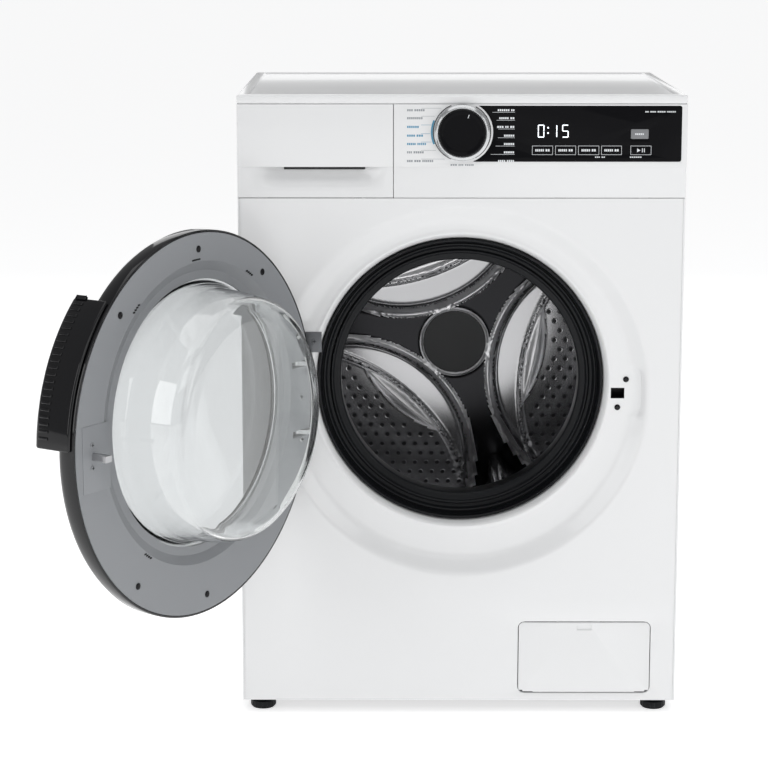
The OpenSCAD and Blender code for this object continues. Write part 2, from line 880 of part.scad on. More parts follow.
module drum_pulley() {
  y0 = pulley_y;
  color("silver") on_axis() difference() {
    union() {
      yring(pulley_r, pulley_r - 8, y0, y0 + pulley_w);
      ycyl(pulley_r - 4, y0 + 5, y0 + 9);
      ycyl(30, y0 - 1, y0 + pulley_w);
    }
    ycyl(shaft_r, y0 - 5, y0 + pulley_w + 5);
    for (a = [0:60:300])
      rotate([0, a, 0]) translate([85, 0, 0]) ycyl(28, y0, y0 + 20);
  }
}

// ---- Water outlet ----

// Pump and filter housing behind the flap
module drain_pump() {
  color("gainsboro") translate([pump_x, 0, pump_z]) difference() {
    union() {
      ycyl(pump_r, pump_y0, pump_y1);
      ycyl(26, pump_y1, pump_y1 + 44);
      box(-20, 20, pump_y0 + 20, pump_y1 - 10, foot_gap + 3 - pump_z, 0);
    }
    ycyl(pump_r - 4, pump_y0 - 1, pump_y1 - 8);
  }
}

// Hose from the tub to the pump, and from the pump to the spigot at the rear
module drain_hoses() {
  r1 = 17;
  r2 = 10;
  y_in = tub_y0 + 63;
  z_in = axis_z - tub_r - 2;
  a = [40, y_in, z_in + 3];
  b = [52, y_in - 6, (z_in + pump_z) / 2];
  c = [pump_x - pump_r + 2, pump_y0 + 50, pump_z];
  d = [pump_x + pump_r - 2, pump_y0 + 62, pump_z + 10];
  e = [hose_x, pump_y0 + 74, hose_z];
  f = [hose_x, y_back - 12, hose_z];
  color("black") difference() {
    union() {
      rod(a, b, r1);
      translate(b) sphere(r = r1 + 1);
      rod(b, c, r1);
      rod(d, e, r2);
      translate(e) sphere(r = r2 + 1);
      rod(e, f, r2);
      translate([hose_x, 0, hose_z]) ycyl(spigot_r, y_back - 13, y_back + 20);
      translate([hose_x, 0, hose_z]) ycyl(14, y_back - 2, y_back + 1);
    }
    on_axis() ycyl(tub_r, tub_y0, tub_y1);
    translate([pump_x, 0, pump_z]) ycyl(pump_r, pump_y0 - 1, pump_y1 + 1);
    translate([hose_x, 0, hose_z]) ycyl(7.5, y_back - 5, y_back + 30);
  }
}

module inlet_valve() {
  color("white") translate([inlet_x, 0, inlet_z]) difference() {
    union() {
      box(-22, 22, y_back - 40, y_back - 3.2, -18, 18);
      ycyl(thread_r, y_back - 4, y_back + 12);
    }
    ycyl(9, y_back - 6, y_back + 20);
  }
}

// Gland that a mains lead comes through
module mains_gland() {
  color("black") translate([gland_x, 0, inlet_z]) difference() {
    union() {
      ycyl(7.8, y_back - 9, y_back + 4);
      ycyl(12, y_back - 2, y_back + 1);
      ycyl(12, y_back - 7, y_back - 3.2);
    }
    ycyl(4.25, y_back - 12, y_back + 8);
  }
}

screw_r = 4;

// Screw heads on the back of the cabinet
module panel_screws() {
  color("silver") {
    for (a = [30:60:330])
      on_axis() rotate([0, a, 0]) translate([cover_r - 5, 0, 0]) ycyl(screw_r, y_back - 0.8, y_back + 1.4);
    for (s = [-1, 1], z = [foot_gap + 30, axis_z, top_z - 14])
      translate([s * (x_side - 9), 0, z]) ycyl(screw_r, y_back - 2, y_back + 0.4);
  }
}

// Flap over the filter, with a round hinge barrel along its lower edge
module filter_flap() {
  t = 2.5;
  barrel_z = 1.5 - flap_h / 2;
  color("white") translate([flap_x, 0, flap_z]) {
    difference() {
      yplate(y_front, y_front + t) round_rect(flap_w, flap_h, 8 - panel_gap);
      box(-10, 10, y_front - 1, y_front + 1.5, flap_h / 2 - 11, flap_h / 2 - 4);
      box(-flap_w, flap_w, y_front - 1, y_front + t + 1, -flap_h, barrel_z);
      for (s = [-1, 1])
        translate([s * flap_w / 2, 0, 0])
          box(-6, 6, y_front - 1, y_front + t + 1, -flap_h, barrel_z + 2);
    }
    translate([20 - flap_w / 2, y_front + t / 2, barrel_z]) rotate([0, 90, 0])
      cylinder(r = t / 2, h = flap_w - 40);
  }
}

module filter_cap() {
  r = pump_r - 4.4;
  color("gray") translate([pump_x, 0, pump_z]) {
    ycyl(r, pump_y0 - 2, pump_y0 + 8);
    box(-r + 4, r - 4, pump_y0 - 12, pump_y0 - 1, -4, 4);
    difference() {
      ycyl(r - 4, pump_y0 + 7, pump_y0 + 56);
      ycyl(r - 7, pump_y0 + 12, pump_y0 + 60);
    }
  }
}

// ---- Door, drawn closed and then opened ----

// Clearance in the door's edge for the two hinge arms
module arm_slots() {
  for (z = hinge_levels)
    box(hinge_x - hinge_inset - 12, hinge_x + arm_reach + 4, hinge_y - 8, y_front + 5,
      z - arm_t / 2 - 1.5, z + arm_t / 2 + 1.5);
}

module door_outer_frame() {
  r = door_r + 2;
  y0 = y_front - door_t;
  yr = y_front - ring_t;
  color("black") opened() difference() {
    union() {
      difference() {
        on_door() yturn([
          [0, y0], [r - 14, y0], [r - 4, y0 + 4], [r, y0 + 12], [r, y_front - 0.5], [r - 3, y_front - 0.5],
          [r - 3, y0 + 13], [r - 6, y0 + 6], [r - 15, y0 + 3], [0, y0 + 3]
        ]);
        on_axis() ycyl(window_seat_r, y0 - 1, y_front);
      }
      on_axis() yring(window_seat_r + 4, window_seat_r, y0 + 1, yr - glass_wall);
    }
    arm_slots();
  }
}

module door_outer_window() {
  y0 = y_front - door_t;
  color("dimgray", 0.5) opened() on_axis() ycyl(window_seat_r - 0.2, y0, y0 + 3.5);
}

module door_inner_ring() {
  r = door_r - 1.2;
  y0 = y_front - ring_t;
  color("slategray") opened() difference() {
    on_door() ycyl(r, y0, y_front);
    on_axis() ycyl(glass_r + 3, y0 - 1, y_front + 1);
    on_axis() yturn([[0, y_front - 5], [glass_r + 14, y_front - 5], [glass_r + 26, y_front + eps],
      [0, y_front + eps]]);
    arm_slots();
    translate([latch_x, 0, latch_z]) box(-12, 12, y0 + 1, y_front + 1, -7, 7);
    translate([latch_x, y_front - 5, latch_z - 11]) cylinder(r = 1.5 + running, h = 22, $fn = 32);
  }
}

module door_glass() {
  w = glass_wall;
  y0 = y_front - ring_t - w;
  y1 = y_front + bowl_depth;
  color("lightblue", 0.4) opened() on_axis() yturn([
    [window_seat_r + 4, y0], [window_seat_r + 4, y0 + w], [glass_r, y0 + w], [glass_r - 7, y_front + 12],
    [glass_r - 10, y_front + 46], [bowl_end_r + 3, y1 - 14], [bowl_end_r - 8, y1 - 3],
    [bowl_end_r - 22, y1], [0, y1], [0, y1 - w], [bowl_end_r - 23, y1 - w], [bowl_end_r - 10, y1 - 3 - w],
    [bowl_end_r - 1, y1 - 15], [glass_r - 10 - w, y_front + 45], [glass_r - 7 - w, y_front + 11],
    [glass_r - w, y0]
  ]);
}

// Grip over the door's free edge, above its middle
module door_handle() {
  r = door_r + 2.2;
  y0 = y_front - door_t - handle_t;
  yf = y_front - door_t - 0.2;
  color("black") opened() on_door() rotate([90, 0, 0]) rotate([0, 0, 2])
    rotate_extrude(angle = 44) polygon([
      [r, 4 - y_front], [r, -yf], [r - 32, -yf], [r - 24, -y0], [r + 1, -y0],
      [r + 5, -y0 - 5], [r + 5, 4 - y_front]
    ]);
}

// Bracket inside the door with ears above and below each arm, pins riveted in
module door_hinge() {
  yp = y_front - ring_t;
  ear = 3;
  off = arm_t / 2 + 0.5;
  color("silver") opened() {
    difference() {
      box(hinge_x - 6, hinge_x + arm_reach + 9, yp - 2.5, yp, hinge_mid - 66, hinge_mid + 66);
      arm_slots();
    }
    for (z = hinge_levels) {
      for (s = [-1, 1])
        translate([0, 0, z + s * (off + 2.5)])
          box(hinge_x - 6, hinge_x + 6, hinge_y - 6, yp, -ear / 2, ear / 2);
      translate([hinge_x, hinge_y, z - off - 4]) cylinder(r = hinge_pin_r, h = 2 * off + 8);
    }
  }
}

ring_screw_angles = [20, 58, 100, 138, 222, 262, 300, 335];

module door_screws() {
  r = door_r - 12;
  color("dimgray") opened() {
    for (a = ring_screw_angles)
      on_door() rotate([0, -a, 0]) translate([r, 0, 0]) ycyl(3, y_front, y_front + 0.6);
    for (s = [-1, 1])
      translate([latch_x + 3, 0, latch_z + s * 14]) ycyl(2.6, y_front, y_front + 0.6);
    for (z = [-58, 2])
      translate([hinge_x + 3, 0, hinge_mid + z]) ycyl(3, y_front, y_front + 0.6);
  }
}

module latch_hook() {
  w = 6;
  tip = y_front + recess_depth + 12;
  color("silver") opened() translate([latch_x, 0, latch_z]) {
    translate([0, 0, -4]) {
      box(-w / 2, w / 2, y_front - 5, tip, 0, 8);
      box(-w / 2, w / 2 + 5, tip - 5, tip, 0, 8);
      translate([0, y_front - 5, 0]) cylinder(r = w / 2, h = 8);
    }
    translate([0, y_front - 5, -10]) cylinder(r = 1.5, h = 20, $fn = 32);
  }
}

left_side_panel();
right_side_panel();
rear_panel();
rear_service_cover();
front_panel();
worktop();
base_tray();
control_fascia();
display_window();
display_board();
dispenser_housing();
dispenser_hoses();
door_gasket();
hinge_plate();
door_lock();
inlet_valve();
drain_pump();
drain_hoses();
mains_gland();
panel_screws();
tub_front();
tub_rear();
counterweights();
heater();
motor();
bearings();
suspension_springs();
dampers();
drive_belt();
drum_shell();
drum_back();
drum_front_ring();
drum_lifters();
drum_spider();
drum_pulley();
motor_pulley();
drawer_front();
drawer_tray();
softener_cap();
program_knob();
speed_key();
temperature_key();
delay_key();
function_key();
start_key();
power_key();
door_outer_frame();
door_outer_window();
door_inner_ring();
door_glass();
door_handle();
door_hinge();
door_screws();
latch_hook();
filter_flap();
filter_cap();
foot_front_left();
foot_front_right();
foot_rear_left();
foot_rear_right();
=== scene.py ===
# %% [markdown]
# # A front loading washing machine with its door open
# A white steel cabinet, a black control window, a round glass door and a polished drum.
# The engineering model already says where everything is and how it moves, so this lesson
# loads that model as a fixed frame and then builds the visible skin on top of it, piece by
# piece. Every place below is measured from the frame and not guessed again.

# %% Load the frame
import json
import math
import bpy
import bmesh
from mathutils import Matrix, Vector


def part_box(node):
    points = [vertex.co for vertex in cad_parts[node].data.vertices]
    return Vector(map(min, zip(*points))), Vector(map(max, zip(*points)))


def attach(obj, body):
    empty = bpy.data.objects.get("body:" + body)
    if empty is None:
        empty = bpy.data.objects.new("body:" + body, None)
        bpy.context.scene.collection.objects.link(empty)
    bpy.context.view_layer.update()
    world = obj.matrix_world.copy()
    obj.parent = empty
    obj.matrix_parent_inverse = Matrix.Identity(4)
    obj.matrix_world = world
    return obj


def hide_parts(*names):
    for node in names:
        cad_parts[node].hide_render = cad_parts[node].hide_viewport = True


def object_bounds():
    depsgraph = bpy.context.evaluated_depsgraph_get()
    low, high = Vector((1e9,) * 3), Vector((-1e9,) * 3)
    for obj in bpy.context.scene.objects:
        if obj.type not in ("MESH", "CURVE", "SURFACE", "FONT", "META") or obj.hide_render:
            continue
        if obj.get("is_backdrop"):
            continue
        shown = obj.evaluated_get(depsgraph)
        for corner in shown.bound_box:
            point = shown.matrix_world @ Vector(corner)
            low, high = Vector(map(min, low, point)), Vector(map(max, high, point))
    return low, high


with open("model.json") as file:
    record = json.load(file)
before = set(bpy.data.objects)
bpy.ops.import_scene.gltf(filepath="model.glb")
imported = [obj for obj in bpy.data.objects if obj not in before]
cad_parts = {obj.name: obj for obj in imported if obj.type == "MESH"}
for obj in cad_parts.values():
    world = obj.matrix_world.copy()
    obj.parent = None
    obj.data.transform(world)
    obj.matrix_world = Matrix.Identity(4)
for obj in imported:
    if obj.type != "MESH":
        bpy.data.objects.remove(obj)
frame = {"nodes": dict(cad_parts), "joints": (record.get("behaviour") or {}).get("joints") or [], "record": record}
cad_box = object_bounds()
MM = 0.001
joints = {joint["name"]: joint for joint in frame["joints"]}

# %% [markdown]
# The frame gives the places that everything else hangs on: the drum's axis, the hinge pin,
# the front sheet and the height of the control panel. The door was designed closed and then
# swung open about its hinge, so its pieces are modelled closed here too and swung last.

# %% Places taken from the frame
panel_low, panel_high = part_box("front_panel")
FRONT = panel_low.y / MM
LEFT, RIGHT = (corner.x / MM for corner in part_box("worktop"))
FASCIA_Z = panel_high.z / MM
AXIS_Z = joints["drum_spin"]["pos_m"][2] / MM
HINGE = Vector(joints["door_hinge"]["pos_m"])
DOOR_TURN = math.radians(joints["door_hinge"]["range_deg"][1])
ring_low, ring_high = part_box("door_inner_ring")
SWING_BACK = Matrix.Rotation(DOOR_TURN, 3, "Z")
DOOR_MID = SWING_BACK @ ((ring_low + ring_high) / 2 - HINGE) + HINGE
DOOR_X = round(DOOR_MID.x / MM, 1)
DOOR_Z = round(DOOR_MID.z / MM, 1)
DOOR_R = (ring_high.z - ring_low.z) / 2 / MM + 1.2
print(f"front {FRONT:.0f}, drum axis {AXIS_Z:.0f}, door {DOOR_X}, {DOOR_Z}, radius {DOOR_R:.1f} mm")

# %% [markdown]
# ## The studio
# The camera stands a little above the worktop, three and a quarter metres in front, with a
# long lens, so the cabinet looks almost square-on and the open door leans towards us.
# White goods need soft light: a big ceiling box, a box on either side and a pale floor that
# bounces light upwards. The polished drum and the black plastic would turn to milk if all
# the room were white, so what shines in them is a darker room with bright boxes in it.

# %% Camera
def aimed(obj, place, target):
    obj.location = place
    obj.rotation_euler = (Vector(target) - Vector(place)).to_track_quat("-Z", "Y").to_euler()
    bpy.context.scene.collection.objects.link(obj)


LENS = 115.0
camera = bpy.data.objects.new("camera", bpy.data.cameras.new("camera"))
camera.data.lens = LENS
camera.data.sensor_width = 36
aimed(camera, (-0.091, -3.481, 1.083), (-0.103, FRONT * MM, 0.462))
bpy.context.scene.camera = camera
bpy.context.scene.view_settings.view_transform = "Standard"
print("lens", LENS, "mm at", tuple(round(v, 3) for v in camera.location))

# %% Lights
def softbox(name, place, target, width, height, power):
    light = bpy.data.lights.new(name, "AREA")
    light.shape = "RECTANGLE"
    light.size = width
    light.size_y = height
    light.energy = power
    aimed(bpy.data.objects.new(name, light), place, target)


MIDDLE = (0, 0, 0.45)
softbox("ceiling", (0, -0.5, 3.4), MIDDLE, 3.2, 3.2, 31)
softbox("left_box", (-2.6, -2.6, 1.5), MIDDLE, 1.2, 2.0, 17)
softbox("right_box", (2.6, -2.4, 1.5), MIDDLE, 1.2, 2.0, 13)
softbox("front_box", (0.5, -3.3, 2.4), (0, 0, 0.4), 1.8, 1.0, 7)
softbox("back_box", (0, 3.0, 2.0), MIDDLE, 2.6, 1.6, 14)

# %% Room
world = bpy.data.worlds.new("room")
bpy.context.scene.world = world
world.use_nodes = True
sky = world.node_tree
background = sky.nodes["Background"]
paths = sky.nodes.new("ShaderNodeLightPath")


def room_level(seen_by, other, level):
    """What one kind of ray sees of the room; all other rays keep the value before."""
    mix = sky.nodes.new("ShaderNodeMix")
    mix.inputs["B"].default_value = level
    sky.links.new(paths.outputs[seen_by], mix.inputs["Factor"])
    if isinstance(other, float):
        mix.inputs["A"].default_value = other
    else:
        sky.links.new(other, mix.inputs["A"])
    return mix.outputs["Result"]


shine = room_level("Is Glossy Ray", 0.36, 0.30)
through = room_level("Is Transmission Ray", shine, 0.8)
backdrop = room_level("Is Camera Ray", through, 1.06)
sky.links.new(backdrop, background.inputs["Strength"])
background.inputs["Color"].default_value = (0.985, 0.99, 1.0, 1)

# %% [markdown]
# ## Finishes
# Every finish on the machine is the same recipe with other numbers: a colour that drifts a
# little, a roughness that drifts a little and a fine grain that lifts the surface. The drift
# and the grain live in one node group, so each material only sets its own values.

# %% The shared grain group
def group_socket(tree, name, kind, default=None, output=False):
    socket = tree.interface.new_socket(name, in_out="OUTPUT" if output else "INPUT", socket_type=kind)
    if default is not None:
        socket.default_value = default


def make_grain_group():
    tree = bpy.data.node_groups.new("surface_grain", "ShaderNodeTree")
    group_socket(tree, "Place", "NodeSocketVector")
    group_socket(tree, "Colour", "NodeSocketColor", (0.5, 0.5, 0.5, 1))
    for name, value in (("Colour drift", 0.05), ("Drift scale", 6.0), ("Roughness", 0.4),
                        ("Roughness drift", 0.05), ("Grain scale", 400.0)):
        group_socket(tree, name, "NodeSocketFloat", value)
    group_socket(tree, "Colour", "NodeSocketColor", output=True)
    group_socket(tree, "Roughness", "NodeSocketFloat", output=True)
    group_socket(tree, "Height", "NodeSocketFloat", output=True)
    nodes, links = tree.nodes, tree.links
    inward = nodes.new("NodeGroupInput")
    outward = nodes.new("NodeGroupOutput")

    def noise(detail, scale):
        texture = nodes.new("ShaderNodeTexNoise")
        texture.inputs["Detail"].default_value = detail
        links.new(inward.outputs["Place"], texture.inputs["Vector"])
        links.new(inward.outputs[scale], texture.inputs["Scale"])
        return texture

    drift, grain = noise(4, "Drift scale"), noise(2, "Grain scale")
    centred = nodes.new("ShaderNodeMath")
    centred.operation = "SUBTRACT"
    centred.inputs[1].default_value = 0.5
    links.new(drift.outputs["Fac"], centred.inputs[0])
    swing = nodes.new("ShaderNodeMath")
    swing.operation = "MULTIPLY_ADD"
    swing.inputs[2].default_value = 1.0
    links.new(centred.outputs[0], swing.inputs[0])
    links.new(inward.outputs["Colour drift"], swing.inputs[1])
    tint = nodes.new("ShaderNodeVectorMath")
    tint.operation = "SCALE"
    links.new(inward.outputs["Colour"], tint.inputs[0])
    links.new(swing.outputs[0], tint.inputs["Scale"])
    links.new(tint.outputs["Vector"], outward.inputs["Colour"])
    dull = nodes.new("ShaderNodeMath")
    dull.operation = "MULTIPLY_ADD"
    dull.use_clamp = True
    links.new(centred.outputs[0], dull.inputs[0])
    links.new(inward.outputs["Roughness drift"], dull.inputs[1])
    links.new(inward.outputs["Roughness"], dull.inputs[2])
    links.new(dull.outputs[0], outward.inputs["Roughness"])
    links.new(grain.outputs["Fac"], outward.inputs["Height"])
    return tree


GRAIN = make_grain_group()
print("grain group has", len(GRAIN.nodes), "nodes")

# %% [markdown]
# `finish` makes one material from the group. The bump distance is in metres, so a moulded
# plastic grain of five hundredths of a millimetre is written as such.

# %% One function for a finish
def finish(name, colour, roughness, metallic=0.0, drift=0.05, drift_scale=6.0, dull=0.08,
           grain=400.0, depth=0.0, coat=0.0, ior=1.45):
    material = bpy.data.materials.new(name)
    material.use_nodes = True
    nodes, links = material.node_tree.nodes, material.node_tree.links
    shader = nodes["Principled BSDF"]
    place = nodes.new("ShaderNodeTexCoord")
    group = nodes.new("ShaderNodeGroup")
    group.node_tree = GRAIN
    links.new(place.outputs["Object"], group.inputs["Place"])
    settings = {"Colour": (*colour, 1), "Colour drift": drift, "Drift scale": drift_scale,
                "Roughness": roughness, "Roughness drift": dull, "Grain scale": grain}
    for socket, value in settings.items():
        group.inputs[socket].default_value = value
    links.new(group.outputs["Colour"], shader.inputs["Base Color"])
    links.new(group.outputs["Roughness"], shader.inputs["Roughness"])
    if depth:
        bump = nodes.new("ShaderNodeBump")
        bump.inputs["Distance"].default_value = depth * MM
        links.new(group.outputs["Height"], bump.inputs["Height"])
        links.new(bump.outputs["Normal"], shader.inputs["Normal"])
    shader.inputs["Metallic"].default_value = metallic
    shader.inputs["IOR"].default_value = ior
    shader.inputs["Coat Weight"].default_value = coat
    shader.inputs["Coat Roughness"].default_value = 0.05
    return material


# %% White and grey finishes
ENAMEL = finish("white_enamel", (0.83, 0.835, 0.84), 0.24, drift=0.012, drift_scale=3, dull=0.05,
                grain=260, depth=0.012, coat=0.35)
WHITE = finish("white_plastic", (0.82, 0.825, 0.83), 0.20, drift=0.012, drift_scale=4, dull=0.05,
               grain=700, depth=0.006, coat=0.2)
PALE = finish("pale_plastic", (0.66, 0.66, 0.65), 0.42, drift=0.05, drift_scale=9, grain=500, depth=0.03)
GREY = finish("grey_plastic", (0.275, 0.285, 0.30), 0.36, drift=0.04, drift_scale=8, grain=1600,
              depth=0.03)
KEY_GREY = finish("key_grey", (0.22, 0.225, 0.235), 0.3, drift=0.05, grain=1500, depth=0.01)
DARK_TRAY = finish("base_plastic", (0.10, 0.10, 0.105), 0.5, drift=0.1, grain=900, depth=0.05)
BLUE = finish("blue_plastic", (0.05, 0.2, 0.5), 0.35, drift=0.06, grain=900, depth=0.02)

# %% Black finishes
GLOSS = finish("black_gloss", (0.006, 0.006, 0.007), 0.05, drift=0.2, dull=0.02, grain=90,
               depth=0.004, ior=1.14)
BLACK = finish("black_plastic", (0.010, 0.010, 0.011), 0.22, drift=0.2, grain=900, depth=0.02, ior=1.25)
RUBBER = finish("black_rubber", (0.0075, 0.0082, 0.0095), 0.30, drift=0.3, drift_scale=14, dull=0.12,
                grain=650, depth=0.02, ior=1.28)
DOOR_GLOSS = finish("door_gloss", (0.006, 0.006, 0.007), 0.06, drift=0.2, dull=0.02, grain=90, depth=0.004)
MOTOR = finish("motor_black", (0.05, 0.05, 0.055), 0.45, metallic=0.4, drift=0.2, grain=300, depth=0.1)

# %% Metals
DRUM_STEEL = finish("drum_steel", (0.50, 0.50, 0.51), 0.18, metallic=1, drift=0.05, drift_scale=14,
                    dull=0.06, grain=500, depth=0.006)
ZINC = finish("zinc_steel", (0.50, 0.50, 0.51), 0.30, metallic=1, drift=0.1, drift_scale=60, dull=0.12,
              grain=900, depth=0.02)
BRIGHT = finish("bright_steel", (0.72, 0.72, 0.73), 0.12, metallic=1, drift=0.04, grain=700, depth=0.004)
ALLOY = finish("cast_alloy", (0.52, 0.53, 0.54), 0.45, metallic=1, drift=0.12, drift_scale=20, dull=0.15,
               grain=600, depth=0.08)
CONCRETE = finish("concrete", (0.36, 0.35, 0.33), 0.85, drift=0.35, drift_scale=40, grain=250, depth=0.4)
BOARD = finish("board_green", (0.02, 0.12, 0.05), 0.35, drift=0.15, drift_scale=60, grain=500, depth=0.02)


# %% Galvanised sheet
def galvanised():
    material = finish("galvanised", (0.55, 0.57, 0.58), 0.38, metallic=0.85, drift=0.06, grain=700,
                      depth=0.01)
    nodes, links = material.node_tree.nodes, material.node_tree.links
    spangle = nodes.new("ShaderNodeTexVoronoi")
    spangle.inputs["Scale"].default_value = 70
    links.new(nodes["Texture Coordinate"].outputs["Object"], spangle.inputs["Vector"])
    shade = nodes.new("ShaderNodeMapRange")
    shade.inputs["To Min"].default_value = 0.28
    shade.inputs["To Max"].default_value = 0.5
    links.new(spangle.outputs["Color"], shade.inputs["Value"])
    links.new(shade.outputs["Result"], nodes["Principled BSDF"].inputs["Roughness"])
    return material


GALVANISED = galvanised()

# %% [markdown]
# Glass is the one finish whose light goes through. Its tint, transmission and index sit on
# the shader's own sockets, and only its faint smears vary over the surface.

# %% Glass
def glass(name, colour, roughness, ior=1.5):
    material = finish(name, colour, roughness, drift=0.02, dull=0.015, ior=ior)
    material.node_tree.nodes["Principled BSDF"].inputs["Transmission Weight"].default_value = 1.0
    return material


CLEAR = glass("clear_glass", (0.97, 0.985, 0.98), 0.0)
SMOKED = glass("smoked_window", (0.60, 0.61, 0.62), 0.01)


# %% Prints, lit digits, print with a painted glow and painted shade
def ink(name, colour, roughness=0.4, drift=0.08):
    return finish(name, colour, roughness, drift=drift, drift_scale=80, grain=2000, depth=0.002)


def lit(name, colour, strength):
    material = ink(name, colour)
    nodes, links = material.node_tree.nodes, material.node_tree.links
    shader = nodes["Principled BSDF"]
    links.new(nodes["Group"].outputs["Colour"], shader.inputs["Emission Color"])
    shader.inputs["Emission Strength"].default_value = strength
    return material


# Pale print that glows faintly with no lamp behind it: real print with a painted glow. Only the digits are a lit
# display.
PRINT_PAINTED_GLOW = lit("pale_print_painted_glow", (0.62, 0.64, 0.66), 0.25)
DIGIT_LIGHT = lit("digit_light", (0.9, 0.95, 1.0), 1.0)
GREY_PRINT = ink("grey_print", (0.30, 0.32, 0.34))
BLUE_PRINT = ink("blue_print", (0.09, 0.30, 0.46))
# Near-black ink used as painted shade: the knob's shadow arcs, the gap under the drawer's lip, the screws' crosses
# and the drum's holes.
PAINTED_SHADE = ink("painted_shade_ink", (0.012, 0.012, 0.014), 0.35, drift=0.1)

# %% [markdown]
# A frame node whose shape is already right keeps its mesh and only gets a finish. The record
# names a slot for each node, so one table from slot to material covers them all.

# %% Finish every frame node
SLOT_FINISH = {
    "white_enamel": ENAMEL, "white_plastic": WHITE, "pale_plastic": PALE, "black_gloss": GLOSS,
    "black_plastic": BLACK, "grey_plastic": GREY, "base_plastic": DARK_TRAY, "blue_plastic": BLUE,
    "clear_glass": CLEAR, "smoked_window": SMOKED, "black_rubber": RUBBER, "stainless": DRUM_STEEL,
    "zinc_steel": ZINC, "bright_steel": BRIGHT, "cast_alloy": ALLOY, "galvanised": GALVANISED,
    "concrete": CONCRETE, "motor_black": MOTOR, "board_green": BOARD,
}
node_slot = {part["node"]: part["material_slot"] for part in frame["record"]["subparts"]}
for node, obj in frame["nodes"].items():
    obj.data.materials.clear()
    obj.data.materials.append(SLOT_FINISH[node_slot[node]])
print("finished", len(node_slot), "frame nodes in", len(SLOT_FINISH), "slots")

# %% [markdown]
# ## Tools for the shapes
# Most of a washing machine is either turned round an axis, folded from sheet or moulded as a
# soft-edged block. Four small tools cover them: spin a profile, bridge a row of outlines,
# push out a block, and round every sharp edge. All of them are thin wraps round Blender's
# own mesh operators. Two more paint a block's faces and turn a sheet towards the user.

# %% Finish a piece and hand it to the frame
MERGE = 0.001 * MM


def add_piece(name, bm, materials, body, replaced=(), smooth=34):
    bmesh.ops.remove_doubles(bm, verts=bm.verts, dist=MERGE)
    bmesh.ops.recalc_face_normals(bm, faces=bm.faces)
    mesh = bpy.data.meshes.new(name)
    bm.to_mesh(mesh)
    bm.free()
    mesh.shade_smooth()
    mesh.set_sharp_from_angle(angle=math.radians(smooth))
    obj = bpy.data.objects.new(name, mesh)
    bpy.context.scene.collection.objects.link(obj)
    for material in materials:
        mesh.materials.append(material)
    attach(obj, body)
    if replaced:
        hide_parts(*replaced)
    return obj


# %% Spin a profile about a line along Y
def spun(bm, profile, centre, steps=144, closed=True):
    x, z = centre
    verts = [bm.verts.new(((x + r) * MM, y * MM, z * MM)) for r, y in profile]
    followers = verts[1:] + verts[:1] if closed else verts[1:]
    edges = [bm.edges.new(pair) for pair in zip(verts, followers)]
    bmesh.ops.spin(bm, geom=verts + edges, cent=(x * MM, 0, z * MM), axis=(0, 1, 0),
                   angle=2 * math.pi, steps=steps, use_merge=True)


# %% Round the corners of a profile
def eased(points, radius, steps=3, closed=True):
    """Each corner becomes a short curve that starts and ends one radius away along its sides."""
    rounded = []
    count = len(points)
    for i, corner in enumerate(points):
        if not closed and i in (0, count - 1):
            rounded.append(corner)
            continue
        here = Vector(corner)
        before = Vector(points[i - 1]) - here
        after = Vector(points[(i + 1) % count]) - here
        start = here + before.normalized() * min(radius, before.length * 0.45)
        end = here + after.normalized() * min(radius, after.length * 0.45)
        for step in range(steps + 1):
            t = step / steps
            rounded.append(tuple((1 - t) ** 2 * start + 2 * t * (1 - t) * here + t ** 2 * end))
    return rounded


# %% Stretch one outline to the next
def bridged(bm, outlines):
    """Each outline is a list of (x, y, z) points in mm, all of the same count, joined in order."""
    ring = bmesh.ops.create_circle(bm, segments=len(outlines[0]), radius=1)["verts"]
    ring = sorted(ring, key=lambda v: math.atan2(v.co.y, v.co.x))
    for vert, place in zip(ring, outlines[0]):
        vert.co = Vector(place) * MM
    for outline in outlines[1:]:
        members = set(ring)
        edges = {e for v in ring for e in v.link_edges if e.other_vert(v) in members}
        order = {tuple(round(c, 7) for c in v.co): i for i, v in enumerate(ring)}
        grown = bmesh.ops.extrude_edge_only(bm, edges=list(edges))["geom"]
        fresh = [g for g in grown if isinstance(g, bmesh.types.BMVert)]
        fresh.sort(key=lambda v: order[tuple(round(c, 7) for c in v.co)])
        for vert, place in zip(fresh, outline):
            vert.co = Vector(place) * MM
        ring = fresh
    return ring


# %% Blocks, slabs and rounded edges
def box_mm(node):
    """The low and high corner of a frame node, in mm."""
    return [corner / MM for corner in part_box(node)]


def block(bm, low, high):
    low, high = Vector(low) * MM, Vector(high) * MM
    size = high - low
    matrix = Matrix.Translation((low + high) / 2) @ Matrix.Diagonal((*size, 1))
    return bmesh.ops.create_cube(bm, size=1, matrix=matrix)["verts"]


def painted(verts, index):
    """Gives every face that touches these corners one of the piece's materials."""
    for vert in verts:
        for face in vert.link_faces:
            face.material_index = index


def face_user(faces):
    """Turns the faces of an open sheet so that all of them face the user."""
    for face in faces:
        if face.normal.y > 0:
            face.normal_flip()


def slab(bm, outline, y0, y1):
    """An outline of (x, z) points given thickness along Y."""
    face = bm.faces.new([bm.verts.new((x * MM, y0 * MM, z * MM)) for x, z in outline])
    grown = bmesh.ops.extrude_face_region(bm, geom=[face])["geom"]
    moved = [g for g in grown if isinstance(g, bmesh.types.BMVert)]
    bmesh.ops.translate(bm, verts=moved, vec=(0, (y1 - y0) * MM, 0))
    return moved


def round_edges(bm, width, segments=2, angle=35):
    limit = math.radians(angle)
    sharp = [e for e in bm.edges if len(e.link_faces) == 2 and e.calc_face_angle() > limit]
    bmesh.ops.bevel(bm, geom=sharp, offset=width * MM, affect="EDGES", segments=segments,
                    profile=0.5, material=-1, clamp_overlap=True)


